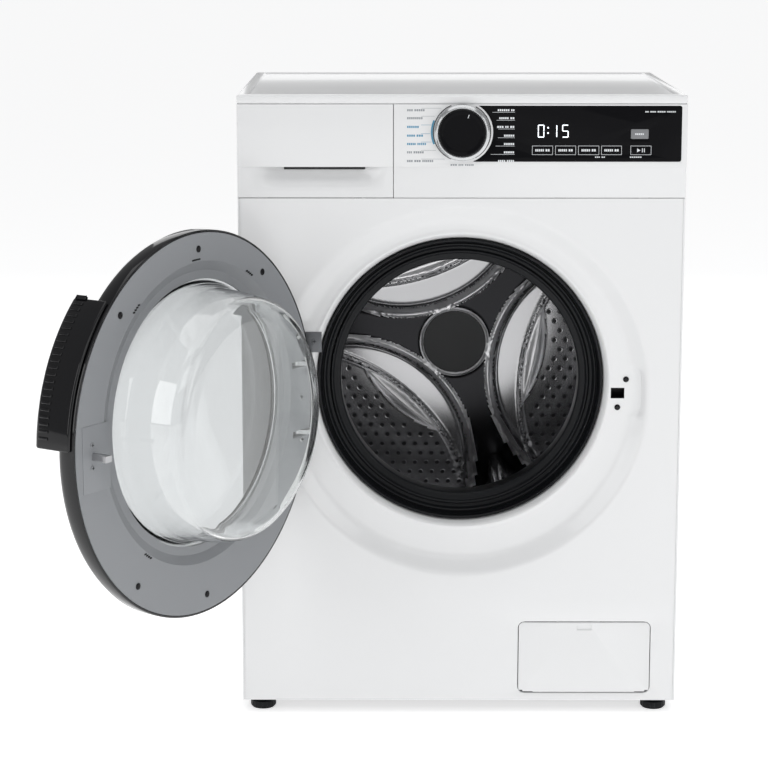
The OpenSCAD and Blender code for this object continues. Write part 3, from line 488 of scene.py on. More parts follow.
def softened(node, width, segments=2):
    """A merged copy of a frame node with its sharp edges rounded."""
    bm = bmesh.new()
    bm.from_mesh(frame["nodes"][node].data)
    bmesh.ops.remove_doubles(bm, verts=bm.verts, dist=MERGE)
    bmesh.ops.dissolve_limit(bm, angle_limit=math.radians(2), verts=bm.verts, edges=bm.edges)
    round_edges(bm, width, segments)
    return bm


def soft_copy(name, node, width, segments, material, body, smooth=34):
    """A softened copy takes its node's place, with the finish that it is given."""
    add_piece(name, softened(node, width, segments), [material], body, (node,), smooth)


# %% Outlines
def circle_points(x, y, z, radius, steps):
    """A circle that faces the user. The radius is a number or a rule of the angle."""
    points = []
    for i in range(steps):
        angle = 2 * math.pi * i / steps
        r = radius(angle) if callable(radius) else radius
        points.append((x + r * math.cos(angle), y, z + r * math.sin(angle)))
    return points


def reach_of_box(angle, half_w, half_h, corner):
    """How far a rounded rectangle's edge lies from its middle, in the direction of an angle."""
    c, s = abs(math.cos(angle)), abs(math.sin(angle))
    reach = min(half_w / max(c, 1e-9), half_h / max(s, 1e-9))
    if reach * c > half_w - corner and reach * s > half_h - corner:
        dot = c * (half_w - corner) + s * (half_h - corner)
        gap = (half_w - corner) ** 2 + (half_h - corner) ** 2 - corner ** 2
        reach = dot + math.sqrt(max(dot * dot - gap, 0))
    return reach


def box_points(x, y, z, half_w, half_h, corner, steps):
    return circle_points(x, y, z, lambda a: reach_of_box(a, half_w, half_h, corner), steps)


def frame_points(x, y, z, low, high, steps):
    """The edge of a sheet, seen from a point in it, with one point on each corner."""
    points = []
    for i in range(steps):
        angle = 2 * math.pi * i / steps
        c, s = math.cos(angle), math.sin(angle)
        across = (high[0] - x if c > 0 else low[0] - x) / (c if abs(c) > 1e-9 else 1e-9)
        upward = (high[1] - z if s > 0 else low[1] - z) / (s if abs(s) > 1e-9 else 1e-9)
        reach = min(abs(across), abs(upward))
        points.append((x + reach * c, y, z + reach * s))
    for corner in ((low[0], low[1]), (low[0], high[1]), (high[0], low[1]), (high[0], high[1])):
        nearest = min(range(steps), key=lambda i: math.dist((points[i][0], points[i][2]), corner))
        points[nearest] = (corner[0], y, corner[1])
    return points


# %% [markdown]
# ## The front sheet
# One pressed steel sheet holds the door's round recess, the funnel that leads into the drum,
# the slot for the door's hook and the opening for the filter flap. A press leaves no sharp
# lines, so the recess is a row of circles whose radius and depth follow an S, bridged one to
# the next. Near the lock and near the hinge the valley is pushed outwards to make pockets.

# %% Rules of the pressed recess
SHEET = 1.2
RECESS_R = DOOR_R + 4
RECESS_DEPTH = 14
FLOOR_Y = FRONT + RECESS_DEPTH
NECK_R = 194
MOUTH_R = NECK_R + 8
STEPS = 360
SPLIT_Z = 160
EDGE_GAP = 3
LATCH_Z = HINGE.z / MM
recess_rows = [(7, 0), (4, 0.25), (1.5, 1.1), (-1, 2.6), (-7, 6.6), (-13, 10.4), (-16, 12.1),
               (-19, 13.3), (-22, 13.85), (-26, 14)]


def pulse(angle, middle, half_width, soft):
    """One inside a stretch of angle, nought outside it, with a short slope between."""
    off = abs((angle - middle + math.pi) % (2 * math.pi) - math.pi)
    return min(1, max(0, (half_width - off) / soft + 0.5))


def recess_radius(offset, depth):
    share = max(0, min(1, (depth - 5) / 5))

    def radius(angle):
        latch = 7 * pulse(angle, 0, math.radians(7.6), math.radians(1.6))
        hinge = 9 * pulse(angle, math.pi, math.radians(24), math.radians(2.5))
        return RECESS_R + offset + share * (latch + hinge)
    return radius


# %% Press the front sheet
def front_sheet():
    bm = bmesh.new()
    low, high = (LEFT + EDGE_GAP, SPLIT_Z), (RIGHT - EDGE_GAP, FASCIA_Z)
    rows = [frame_points(DOOR_X, FRONT, DOOR_Z, low, high, STEPS)]
    for offset, depth in recess_rows:
        reach = recess_radius(offset, depth)
        rows.append(circle_points(DOOR_X, FRONT + depth, DOOR_Z, reach, STEPS))
    neck = [(MOUTH_R + 6, 14), (MOUTH_R + 2.2, 13.9), (MOUTH_R + 0.8, 13.3), (MOUTH_R - 0.6, 13.6),
            (MOUTH_R - 2.4, 15.2), (MOUTH_R - 4.6, 18.4), (MOUTH_R - 6.4, 22.5), (NECK_R, 27),
            (NECK_R, 46)]
    for radius, depth in neck:
        rows.append(circle_points(0, FRONT + depth, AXIS_Z, radius, STEPS))
    bridged(bm, rows)
    return bm


def flap_zone(bm):
    """The part of the sheet below the recess, with the flap's opening."""
    flap_low, flap_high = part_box("filter_flap")
    x, z = (flap_low.x + flap_high.x) / 2 / MM, (flap_low.z + flap_high.z) / 2 / MM
    half_w, half_h = (flap_high.x - flap_low.x) / 2 / MM, (flap_high.z - flap_low.z) / 2 / MM
    gap = 1.0
    low, high = (LEFT + EDGE_GAP, panel_low.z / MM), (RIGHT - EDGE_GAP, SPLIT_Z)
    rows = [frame_points(x, FRONT, z, low, high, STEPS // 2)]
    for grow, depth in ((gap + 1.2, 0), (gap + 0.4, 0.35), (gap, 1.2), (gap, 6)):
        outline = box_points(x, FRONT + depth, z, half_w + grow, half_h + grow, 8 + grow, STEPS // 2)
        rows.append(outline)
    bridged(bm, rows)


# %% Cut the hook's slot and the hinge's windows through the floor of the recess
def cut_window(bm, low, high):
    """Splits the faces round a window along its four sides and takes out what is inside."""
    mid_x, mid_z, half_h = (low[0] + high[0]) / 2, (low[1] + high[1]) / 2, (high[1] - low[1]) / 2
    sides = ((low[0], (1, 0, 0)), (high[0], (1, 0, 0)), (low[1], (0, 0, 1)), (high[1], (0, 0, 1)))
    for place, normal in sides:
        middles = [(f, f.calc_center_median() / MM) for f in bm.faces]
        near = [f for f, mid in middles if abs(mid.x - mid_x) < 30
                and abs(mid.z - mid_z) < half_h + 30 and mid.y < FLOOR_Y + 2]
        geom = list({g for f in near for g in (*f.verts, *f.edges, f)})
        bmesh.ops.bisect_plane(bm, geom=geom, plane_co=Vector(normal) * place * MM, plane_no=normal)
    middles = [(f, f.calc_center_median() / MM) for f in bm.faces]
    inside = [f for f, mid in middles if low[0] < mid.x < high[0] and low[1] < mid.z < high[1]]
    bmesh.ops.delete(bm, geom=inside, context="FACES")


SLOT_X, SLOT_HALF_W, SLOT_HALF_H = 213, 9.2, 7.3
PIN_X = HINGE.x / MM
PLATE_HALF_H, ARM_LOW, ARM_HIGH = 74, 44.6, 51.4
sheet_bm = front_sheet()
for x0, x1, z0, z1 in ((SLOT_X - SLOT_HALF_W, SLOT_X + SLOT_HALF_W, -SLOT_HALF_H, SLOT_HALF_H),
                       (PIN_X - 3, PIN_X + 10.6, -PLATE_HALF_H, PLATE_HALF_H),
                       (PIN_X, PIN_X + 20.4, -ARM_HIGH, -ARM_LOW),
                       (PIN_X, PIN_X + 20.4, ARM_LOW, ARM_HIGH)):
    cut_window(sheet_bm, (x0, LATCH_Z + z0), (x1, LATCH_Z + z1))
flap_zone(sheet_bm)
bmesh.ops.recalc_face_normals(sheet_bm, faces=sheet_bm.faces)
for face in sheet_bm.faces:
    if face.normal.y > 0.3:
        face.normal_flip()
bmesh.ops.solidify(sheet_bm, geom=sheet_bm.faces[:], thickness=SHEET * MM)
front_piece = add_piece("front_sheet", sheet_bm, [ENAMEL], "cabinet", ("front_panel",),
                        smooth=40)
print("front sheet", len(front_piece.data.polygons), "faces, y from",
      round(min(v.co.y for v in front_piece.data.vertices) / MM, 2))

# %% [markdown]
# The two screws beside the hook's slot and the lock's dark mouth behind it. A small pan-head
# screw is a spun dome with a thin dark cross laid on it, painted shade for a pressed cross, and
# the same helper serves the whole machine: it only needs a place, a size and the direction that
# it faces.

# %% A screw head
def screw_head(bm, place, radius, height, facing=-1):
    """A domed head on a plane across Y. It faces the user when facing is -1."""
    x, back, z = place
    front = back + facing * height
    profile = [(0, back), (radius, back), (radius, back + facing * height * 0.35),
               (radius * 0.82, back + facing * height * 0.85), (radius * 0.5, front), (0, front)]
    spun(bm, profile, (x, z), steps=20, closed=False)
    # The cross is a thin bar laid on the dome in the piece's second material, which is dark: painted shade for a
    # pressed cross.
    arm, bar = radius * 0.62, radius * 0.13
    near, far = sorted((front, front + facing * 0.15))
    for half_w, half_h in ((arm, bar), (bar, arm)):
        cross = block(bm, (x - half_w, near, z - half_h), (x + half_w, far, z + half_h))
        painted(cross, 1)


lock_screws = bmesh.new()
for x, z in ((224, LATCH_Z + 19), (213, LATCH_Z - 19.5)):
    screw_head(lock_screws, (x, FLOOR_Y, z), 4.0, 1.8)
add_piece("lock_screws", lock_screws, [BLACK, PAINTED_SHADE], "cabinet")
# The lock gets the black finish so that the slot in front of it reads as a dark mouth: painted shade.
frame["nodes"]["door_lock"].data.materials[0] = BLACK

# %% [markdown]
# ## Worktop and cabinet
# The worktop is a chipboard panel in a moulded border that stands a little proud all round.
# A cube whose top is inset and pushed down makes exactly that, and a wide soft bevel on
# every edge gives the moulded look.

# %% Worktop
def worktop_piece():
    bm = bmesh.new()
    low, high = box_mm("worktop")
    block(bm, low, high)
    top = max(bm.faces, key=lambda f: f.calc_center_median().z)
    bmesh.ops.inset_region(bm, faces=[top], thickness=20 * MM)
    bmesh.ops.inset_region(bm, faces=[top], thickness=2.5 * MM, depth=-1.5 * MM)
    outer = [e for e in bm.edges if len(e.link_faces) == 2 and e.calc_face_angle() > math.radians(60)]
    bmesh.ops.bevel(bm, geom=outer, offset=3.2 * MM, affect="EDGES", segments=4, profile=0.5, material=-1)
    round_edges(bm, 0.8, 2, angle=20)
    return bm


add_piece("worktop_panel", worktop_piece(), [WHITE], "cabinet", ("worktop",))

# %% [markdown]
# ## The control panel
# The fascia and the drawer front are white mouldings with soft edges, so the frame's blocks
# are copied, merged and bevelled. The drawer's grip is a dish under a thin lip: a finger slides
# in below the lip, and the dish fades out towards the bottom of the panel.

# %% Fascia and window
soft_copy("fascia_moulding", "control_fascia", 1.0, 3, WHITE, "cabinet")
soft_copy("window_panel", "display_window", 0.5, 2, GLOSS, "cabinet")

# %% Drawer front with its dished grip
drawer_low, drawer_high = box_mm("drawer_front")
STEP_Z = FASCIA_Z + 42
GRIP = (-285, -97)
GRIP_SLOPE = 42


def step_up(value, low, high):
    t = max(0, min(1, (value - low) / (high - low)))
    return t * t * (3 - 2 * t)


def grip_depth(x, z):
    """How far the lower strip is pushed back: deep below the lip, fading downwards."""
    start, end = GRIP
    across = min(step_up(x, start, start + GRIP_SLOPE), 1 - step_up(x, end - GRIP_SLOPE, end))
    return 13 * across * step_up(z, STEP_Z - 32, STEP_Z - 5)


def drawer_front_piece():
    bm = bmesh.new()
    x0, x1 = drawer_low.x, drawer_high.x
    block(bm, (x0, drawer_low.y, STEP_Z), (x1, FRONT + 3, drawer_high.z))
    round_edges(bm, 1.0, 3)
    sheet = bmesh.ops.create_grid(bm, x_segments=76, y_segments=24, size=0.5)["verts"]
    z0, z1 = FASCIA_Z + 1, STEP_Z
    for vert in sheet:
        x = x0 + (vert.co.x + 0.5) * (x1 - x0)
        z = z0 + (vert.co.y + 0.5) * (z1 - z0)
        vert.co = Vector((x, FRONT + grip_depth(x, z), z)) * MM
    faces = list({f for v in sheet for f in v.link_faces})
    bmesh.ops.recalc_face_normals(bm, faces=faces)
    face_user(faces)
    bmesh.ops.solidify(bm, geom=faces, thickness=2 * MM)
    return bm


add_piece("drawer_front_dished", drawer_front_piece(), [WHITE], "drawer",
          ("drawer_front",))
# A dark bar in the deepest part of the dish, under the lip: painted shade for the gap where the fingers go.
slot = bmesh.new()
block(slot, (-236, FRONT + 9.5, STEP_Z - 4.6), (-128, FRONT + 14.8, STEP_Z - 0.4))
round_edges(slot, 0.6, 2)
add_piece("grip_slot_shade", slot, [PAINTED_SHADE], "drawer")

# %% [markdown]
# The knob is a black disc in a bright ring. Both are turned parts, so one profile is spun for
# each, with a shallow dish in the black face and a small light tick that shows the setting.

# %% Program knob
knob_low, knob_high = box_mm("program_knob")
KNOB_X, KNOB_Z = (knob_low.x + knob_high.x) / 2, (knob_low.z + knob_high.z) / 2
KNOB_R = (knob_high.x - knob_low.x) / 2
FASCIA_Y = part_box("control_fascia")[0].y / MM
KNOB_TICK = math.radians(70)
knob = bmesh.new()
top_y = knob_low.y
ring = [(KNOB_R - 8, FASCIA_Y - 0.5), (KNOB_R, FASCIA_Y - 0.5), (KNOB_R, top_y + 7),
        (KNOB_R - 4, top_y + 4.2), (KNOB_R - 8, top_y + 6)]
spun(knob, eased(ring, 1.0, 3), (KNOB_X, KNOB_Z), 128)
for face in knob.faces:
    face.material_index = 1
disc = [(0, top_y + 1.6), (KNOB_R - 12, top_y + 1.6), (KNOB_R - 8.2, top_y), (KNOB_R - 6.4, top_y + 1.4),
        (KNOB_R - 6.4, FASCIA_Y - 0.6), (0, FASCIA_Y - 0.6)]
spun(knob, eased(disc, 1.0, 3, closed=False), (KNOB_X, KNOB_Z), 128, closed=False)
tick = block(knob, (KNOB_R - 16, top_y + 1.0, -0.4), (KNOB_R - 11, top_y + 1.8, 0.4))
for vert in tick:
    x, z = vert.co.x, vert.co.z
    vert.co.x = x * math.cos(KNOB_TICK) - z * math.sin(KNOB_TICK) + KNOB_X * MM
    vert.co.z = x * math.sin(KNOB_TICK) + z * math.cos(KNOB_TICK) + KNOB_Z * MM
# The tick is pale print with a painted glow.
painted(tick, 2)
KNOB_RING = finish("knob_ring", (0.60, 0.61, 0.62), 0.18, metallic=0.9, drift=0.05, grain=900, depth=0.004)
add_piece("knob_turned", knob, [GLOSS, KNOB_RING, PRINT_PAINTED_GLOW], "knob", ("program_knob",))

# %% [markdown]
# Print is a film of ink. Real labels are left out here: short dashes stand where words would
# be, so the panel reads as a panel and says nothing. Each dash is a thin raised block.

# %% Dashes and arcs of print, and the knob's painted shadow
INK = 0.12


def dash(bm, x0, x1, z0, z1, y, index=0, thick=INK):
    painted(block(bm, (x0, y - thick, z0), (x1, y + 0.02, z1)), index)


def words(bm, x, z, lengths, y, index=0, height=2.5, gap=1.6, right=False):
    """A line of dashes that starts at x, or ends there when right is true."""
    total = sum(lengths) + gap * (len(lengths) - 1)
    at = x - total if right else x
    for length in lengths:
        letters = max(1, round(length / 2.6))
        for i in range(letters):
            start = at + i * length / letters
            dash(bm, start, start + length / letters - 0.7, z - height / 2, z + height / 2, y, index)
        at += length + gap


def knob_arc(bm, inner, outer, start, end, index, steps=24):
    """A band round the knob, from one angle to another in degrees: ink, or painted shadow when its material is the
    dark shade.
    """
    turns = [math.radians(start + (end - start) * i / steps) for i in range(steps + 1)]
    outline = [(KNOB_X + inner * math.cos(t), KNOB_Z + inner * math.sin(t)) for t in turns]
    outline += [(KNOB_X + outer * math.cos(t), KNOB_Z + outer * math.sin(t)) for t in reversed(turns)]
    painted(slab(bm, outline, FASCIA_Y, FASCIA_Y - INK), index)


WINDOW_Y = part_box("display_window")[0].y / MM
ink_and_knob_shadow = bmesh.new()
LINE_Z = (830, 819.5, 808, 796.5, 785.5, 774.5, 763)
left_words = ((8, 14), (21,), (16,), (11, 9), (12, 12), (7, 14), (8, 9, 15))
left_inks = (0, 0, 1, 1, 1, 0, 0)
for z, lengths, index in zip(LINE_Z, left_words, left_inks):
    words(ink_and_knob_shadow, -72.5, z, lengths, FASCIA_Y, index, 2.8)
    reach = math.sqrt(max(0, (KNOB_R + 5) ** 2 - (z + 2.6 - KNOB_Z) ** 2))
    dash(ink_and_knob_shadow, -54, -max(reach, 12), z + 2.4, z + 2.8, FASCIA_Y, index)
words(ink_and_knob_shadow, KNOB_X - 15, KNOB_Z - 43.2, (9, 7, 12), FASCIA_Y, 0, 2.2)
# The two thin dark arcs that hug the knob's edge are the knob's painted shadow on the fascia; the wider blue arc
# is print.
knob_arc(ink_and_knob_shadow, KNOB_R + 0.4, KNOB_R + 1.6, 112, 248, 2)
knob_arc(ink_and_knob_shadow, KNOB_R + 1.8, KNOB_R + 4.2, 157, 203, 1)
knob_arc(ink_and_knob_shadow, KNOB_R + 0.4, KNOB_R + 1.6, -62, 62, 2)
add_piece("fascia_ink_and_knob_shadow", ink_and_knob_shadow, [GREY_PRINT, BLUE_PRINT, PAINTED_SHADE], "cabinet")

# %% Pale marks on the window, with a painted glow
marks = bmesh.new()
right_words = ((16, 5), (13, 6), (9, 5, 6), (14,), (14,), (14,), (10, 10))
for z, lengths in zip(LINE_Z, right_words):
    words(marks, 69.5, z, lengths, WINDOW_Y, 0, 2.6, right=True)
    start = math.sqrt(max(0, 48 ** 2 - (z - 2.7 - KNOB_Z) ** 2))
    dash(marks, max(start, 30), 69.5, z - 2.9, z - 2.5, WINDOW_Y)
words(marks, 282, 828, (5, 8, 11, 12), WINDOW_Y, 0, 1.8, right=True)
for x, lengths in ((176, (7, 5)), (222, (16,))):
    words(marks, x, 768.2, lengths, WINDOW_Y, 0, 1.6)
add_piece("window_marks", marks, [PRINT_PAINTED_GLOW], "cabinet")

# %% [markdown]
# The time is shown by seven-segment digits. A digit is a set of lit bars chosen from seven
# places, so a table with the bars of each figure is all that is needed.

# %% Digits
BARS = {"0": "abcdef", "1": "bc", "5": "acdfg"}


def digit(bm, figure, x, z, w=8.6, h=17, t=1.3):
    across = (x + t * 0.6, x + w - t * 0.6)
    left, right = (x, x + t), (x + w - t, x + w)
    above, below = (z + h / 2 + 0.4, z + h - t * 0.6), (z + t * 0.6, z + h / 2 - 0.4)
    places = {"a": (*across, z + h - t, z + h), "g": (*across, z + (h - t) / 2, z + (h + t) / 2),
              "d": (*across, z, z + t), "b": (*right, *above), "c": (*right, *below),
              "f": (*left, *above), "e": (*left, *below)}
    for bar in BARS[figure]:
        dash(bm, *places[bar], WINDOW_Y, 0, 0.15)


digits = bmesh.new()
for figure, x in (("0", 100), ("1", 117), ("5", 132)):
    digit(digits, figure, x, 794)
for z in (799, 806):
    dash(digits, 112.5, 114.5, z, z + 2, WINDOW_Y, 0, 0.15)
add_piece("time_digits", digits, [DIGIT_LIGHT], "cabinet")

# %% [markdown]
# Each key is a black tile with a thin light outline and a mark, both printed on the tile, so
# they go in with it by a millimetre when it is pressed.

# %% Keys
for node in ("speed_key", "temperature_key", "delay_key", "function_key", "start_key", "power_key"):
    low, high = box_mm(node)
    cap_material = KEY_GREY if node == "power_key" else GLOSS
    soft_copy(node + "_cap", node, 0.4, 2, cap_material, node + "_body")
    mark = bmesh.new()
    x, z = (low.x + high.x) / 2, (low.z + high.z) / 2
    if node == "start_key":
        slab(mark, [(x - 5, z - 2.6), (x - 5, z + 2.6), (x - 0.6, z)], low.y, low.y - INK)
        dash(mark, x + 1.4, x + 2.4, z - 2.6, z + 2.6, low.y)
        dash(mark, x + 4, x + 5, z - 2.6, z + 2.6, low.y)
    elif node == "power_key":
        words(mark, x - 6, z, (12,), low.y, 0, 2.2)
    else:
        words(mark, x - 9.5, z, (12, 6), low.y, 0, 3.0)
    if node != "power_key":
        t = 0.45
        x0, x1, z0, z1 = low.x + 0.4, high.x - 0.4, low.z + 0.4, high.z - 0.4
        for side in ((x0, x1, z1 - t, z1), (x0, x1, z0, z0 + t), (x0, x0 + t, z0 + 0.5, z1 - 0.5),
                     (x1 - t, x1, z0 + 0.5, z1 - 0.5)):
            dash(mark, *side, low.y)
    # Outline and mark are pale print with a painted glow.
    add_piece(node + "_mark", mark, [PRINT_PAINTED_GLOW], node + "_body")

# %% [markdown]
# ## The drum
# The back of the drum is one deep-drawn steel disc. Its shape is a rule, so it is built as a
# polar sheet of rings whose depth follows that rule: three wide lobes are pressed in from the
# rim, each with a raised bead along its edge and a second ridge that cuts off a leaf.
# What is left between the lobes is a three-armed star round a flat centre cap. The sheet is one
# steel, but the star is painted near black as painted shade, and the beads, the leaves and the
# cap's rim are painted pale as painted highlight.

# %% Rules of the pressed back
LOBE_ANGLES = [math.radians(a) for a in (109, 229, 349)]
LOBE_OUT, LOBE_R = 242, 187
RIDGE_OUT, RIDGE_R = 394, 288
LEAF_BACK, LEAF_R = 62, 197
back_low, back_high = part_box("drum_back")
BACK_Y = back_high.y / MM
BACK_R = (back_high.x - back_low.x) / 2 / MM - 1


def bead(value, width):
    return max(0, 1 - (value / width) ** 2) ** 2


def lobe_depths(x, z):
    """How deep a point lies inside the nearest lobe, and inside its inner ridge, in mm."""
    def inside(radius, out):
        return max(radius - math.hypot(x - out * math.cos(a), z - out * math.sin(a)) for a in LOBE_ANGLES)
    return inside(LOBE_R, LOBE_OUT), inside(RIDGE_R, RIDGE_OUT)


def leaf_depth(x, z):
    """How deep a point lies inside the lens-shaped leaf that follows a ridge, in mm."""
    deep = -99
    for a in LOBE_ANGLES:
        out = x * math.cos(a) + z * math.sin(a)
        along = z * math.cos(a) - x * math.sin(a)
        ridge_side = RIDGE_R - math.hypot(out - RIDGE_OUT, along)
        deep = max(deep, min(ridge_side, LEAF_R - math.hypot(out + LEAF_BACK, along)))
    return deep


def back_height(x, z):
    """How far the sheet stands towards the user from the drum's rear plane."""
    lobe, ridge = lobe_depths(x, z)
    radius = math.hypot(x, z)
    star = 15 * (1 - step_up(lobe, -4, 14)) + 5 * bead(lobe, 6)
    ridges = 4.5 * bead(ridge + 1, 4) + 6 * step_up(leaf_depth(x, z), 0, 16)
    cap = 3 * bead(radius - 49.5, 2.8)
    return 3 + star + ridges + cap


# %% Press the drum's back
def drum_back_piece():
    bm = bmesh.new()
    spacing = 2.6
    radii = [2 + spacing * i for i in range(int((BACK_R - 2) / spacing))] + [BACK_R]
    rows = []
    for radius in reversed(radii):
        flat = circle_points(0, 0, 0, radius, 270)
        rows.append([(x, BACK_Y - back_height(x, z), AXIS_Z + z) for x, _, z in flat])
    last = bridged(bm, rows)
    bmesh.ops.contextual_create(bm, geom=last)
    bmesh.ops.recalc_face_normals(bm, faces=bm.faces)
    face_user(bm.faces)
    # Material 1 paints the star arms near black, painted shade; material 3 paints the beads, the cap's rim and the
    # leaves pale, painted highlight; material 2 is the dark centre cap.
    for face in bm.faces:
        middle = face.calc_center_median() / MM
        x, z = middle.x, middle.z - AXIS_Z
        lobe = lobe_depths(x, z)[0]
        radius = math.hypot(x, z)
        if 47.2 < radius < 51.5 or -6 < lobe < 7 or leaf_depth(x, z) > 0.5:
            face.material_index = 3
        elif radius < 49:
            face.material_index = 2
        elif lobe < 2:
            face.material_index = 1
    bmesh.ops.solidify(bm, geom=bm.faces[:], thickness=SHEET * MM)
    return bm


# The star and leaf steels are the drum steel painted darker and paler: painted shade and painted highlight.
SHADED_STAR_STEEL = finish("star_steel_painted_shade", (0.028, 0.028, 0.030), 0.22, metallic=1, drift=0.2, drift_scale=12,
                    dull=0.1, grain=500, depth=0.006)
HIGHLIT_LEAF_STEEL = finish("leaf_steel_painted_highlight", (0.88, 0.88, 0.89), 0.34, metallic=1, drift=0.05, drift_scale=12,
                    dull=0.06, grain=500, depth=0.006)
CAP_GREY = finish("cap_grey", (0.030, 0.031, 0.033), 0.42, drift=0.2, drift_scale=20, grain=600,
                  depth=0.02)
back_steels = [DRUM_STEEL, SHADED_STAR_STEEL, CAP_GREY, HIGHLIT_LEAF_STEEL]
back_piece = add_piece("drum_back_pressed", drum_back_piece(), back_steels, "drum",
                       ("drum_back",), smooth=60)
print("drum back", len(back_piece.data.polygons), "faces")

# %% [markdown]
# Water leaves through hundreds of holes. Each is a small dimple with a dark middle cap, painted
# shade where the hole would show, so one dimple is modelled as two short rings and repeated: on
# a staggered grid inside the ridges of the back, and in rows round the shell between the lifters.

# %% Perforations
def dimple_shape(radius=4.6):
    """A rim, a slope and a dark middle cap painted as the hole's shade, facing along Z."""
    bm = bmesh.new()
    rim = bmesh.ops.create_circle(bm, segments=12, radius=radius * MM)["verts"]
    edges = list({e for v in rim for e in v.link_edges})
    for scale, height in ((0.86, 1.1), (0.66, 1.0), (0.56, 0.2)):
        grown = bmesh.ops.extrude_edge_only(bm, edges=edges)["geom"]
        edges = [g for g in grown if isinstance(g, bmesh.types.BMEdge)]
        for vert in [g for g in grown if isinstance(g, bmesh.types.BMVert)]:
            vert.co = Vector((*(vert.co.xy.normalized() * radius * scale * MM), height * MM))
    # The middle cap takes material 1, the dark shade: painted shade where the hole is.
    for face in bmesh.ops.contextual_create(bm, geom=edges)["faces"]:
        face.material_index = 1
    mesh = bpy.data.meshes.new("dimple")
    bm.to_mesh(mesh)
    bm.free()
    return mesh


def stamp(bm, shape, place, facing):
    """Adds a copy of a small mesh at a place in mm, with its Z along facing."""
    turn = Vector(facing).to_track_quat("Z", "Y").to_matrix().to_4x4()
    copy = shape.copy()
    copy.transform(Matrix.Translation(Vector(place) * MM) @ turn)
    bm.from_mesh(copy)
    bpy.data.meshes.remove(copy)


DIMPLE = dimple_shape()
SUNK = 0.25
LIFTER_ANGLES = (49, 169, 289)
perforations = bmesh.new()
holes = 0
pitch = 16.5
for row in range(-16, 17):
    for column in range(-16, 17):
        x = (column + 0.5 * (row % 2)) * pitch
        z = row * pitch * 0.866
        ridge = lobe_depths(x, z)[1]
        if ridge > 8 and leaf_depth(x, z) < -6 and math.hypot(x, z) < BACK_R - 12:
            place = (x, BACK_Y - back_height(x, z) - SUNK, AXIS_Z + z)
            stamp(perforations, DIMPLE, place, (0, -1, 0))
            holes += 1
shell_low, shell_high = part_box("drum_shell")
SHELL_R = (shell_high.x - shell_low.x) / 2 / MM - SHEET
for ring in range(12):
    y = shell_low.y / MM + 30 + ring * 18.5
    for i in range(72):
        angle = math.radians(5 * i + 2.5 * (ring % 2))
        if any(pulse(angle, math.radians(a), 0.24, 0.01) for a in LIFTER_ANGLES):
            continue
        c, s = math.cos(angle), math.sin(angle)
        place = ((SHELL_R - SUNK) * c, y, AXIS_Z + (SHELL_R - SUNK) * s)
        stamp(perforations, DIMPLE, place, (-c, 0, -s))
        holes += 1
add_piece("drum_perforations", perforations, [DRUM_STEEL, PAINTED_SHADE], "drum", smooth=50)
print(holes, "perforations")

# %% [markdown]
# Three lifters tumble the laundry. Each is a steel fin with a wide foot and a rounded top, so
# its outline is swept along the drum, drawn in towards the ends and closed there.

# %% Lifters
def lifter(bm, angle):
    foot = SHELL_R - 2
    outline = eased([(foot, -33), (foot - 10, -30), (foot - 26, -17), (foot - 46, -10), (foot - 55, -6),
                     (foot - 55, 6), (foot - 46, 10), (foot - 26, 17), (foot - 10, 30), (foot, 33)], 6, 4)
    c, s = math.cos(angle), math.sin(angle)
    y0, y1 = shell_low.y / MM + 14, BACK_Y - 22
    stations = ((y0, 0.55), (y0 + 2, 0.78), (y0 + 6, 0.93), (y0 + 14, 1), (y1 - 14, 1),
                (y1 - 4, 0.93), (y1, 0.8))
    rows = []
    for y, grow in stations:
        row = []
        for radial, across in outline:
            deep = foot - (foot - radial) * grow
            side = across * (0.8 + 0.2 * grow)
            row.append((deep * c - side * s, y, AXIS_Z + deep * s + side * c))
        rows.append(row)
    bridged(bm, rows)
    bmesh.ops.holes_fill(bm, edges=[e for e in bm.edges if e.is_boundary])


lifters = bmesh.new()
for turn in LIFTER_ANGLES:
    one = bmesh.new()
    lifter(one, math.radians(turn))
    part = bpy.data.meshes.new("lifter_part")
    one.to_mesh(part)
    one.free()
    lifters.from_mesh(part)
    bpy.data.meshes.remove(part)
add_piece("lifters_rounded", lifters, [DRUM_STEEL], "drum", ("drum_lifters",))

# %% [markdown]
# The gasket is one rubber bellows between the front sheet and the tub. Its steps catch thin
# lines of light, so its profile is drawn with soft corners and spun. The drum's rolled mouth
# is spun the same way and shows as a slim bright rim behind the rubber lip.

# %% Gasket
LIP_R = 162
gasket = bmesh.new()
neck = NECK_R - 0.4
profile = [(neck, -209), (neck, -186.5), (184, -186.5), (184, -157.5), (180.5, -157.5), (180.5, -183),
           (166.5, -183), (166.5, -157.5), (LIP_R, -157.5), (LIP_R, -188), (165, -190.5), (171, -191),
           (172.5, -195), (175, -195.5), (176.5, -191.5), (181, -193), (182.5, -199), (185, -200),
           (186.5, -197), (188.5, -206), (189, -212.5), (192, -214)]
spun(gasket, eased(profile, 1.6, 3), (0, AXIS_Z), 192)
add_piece("gasket_bellows", gasket, [RUBBER], "cabinet", ("door_gasket",))

# %% The drum's rolled mouth
drum_mouth = bmesh.new()
rim_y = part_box("drum_front_ring")[0].y / MM
rolled = [(164, 8), (163.4, 6.6), (164.2, 5.4), (169, 4.6), (172.6, 2.4), (175, 0.2), (178, 0.2),
          (181, 2), (183, 5), (200, 6.5), (228, 8.5), (233, 12), (233, 20), (231.8, 20), (231.8, 12.6),
          (227, 9.8), (200, 7.8), (182, 6.2), (179, 3), (177, 1.6), (175, 3), (171, 6.6)]
spun(drum_mouth, [(radius, rim_y + back) for radius, back in rolled], (0, AXIS_Z), 192)
add_piece("drum_mouth", drum_mouth, [BRIGHT], "drum", ("drum_front_ring",))

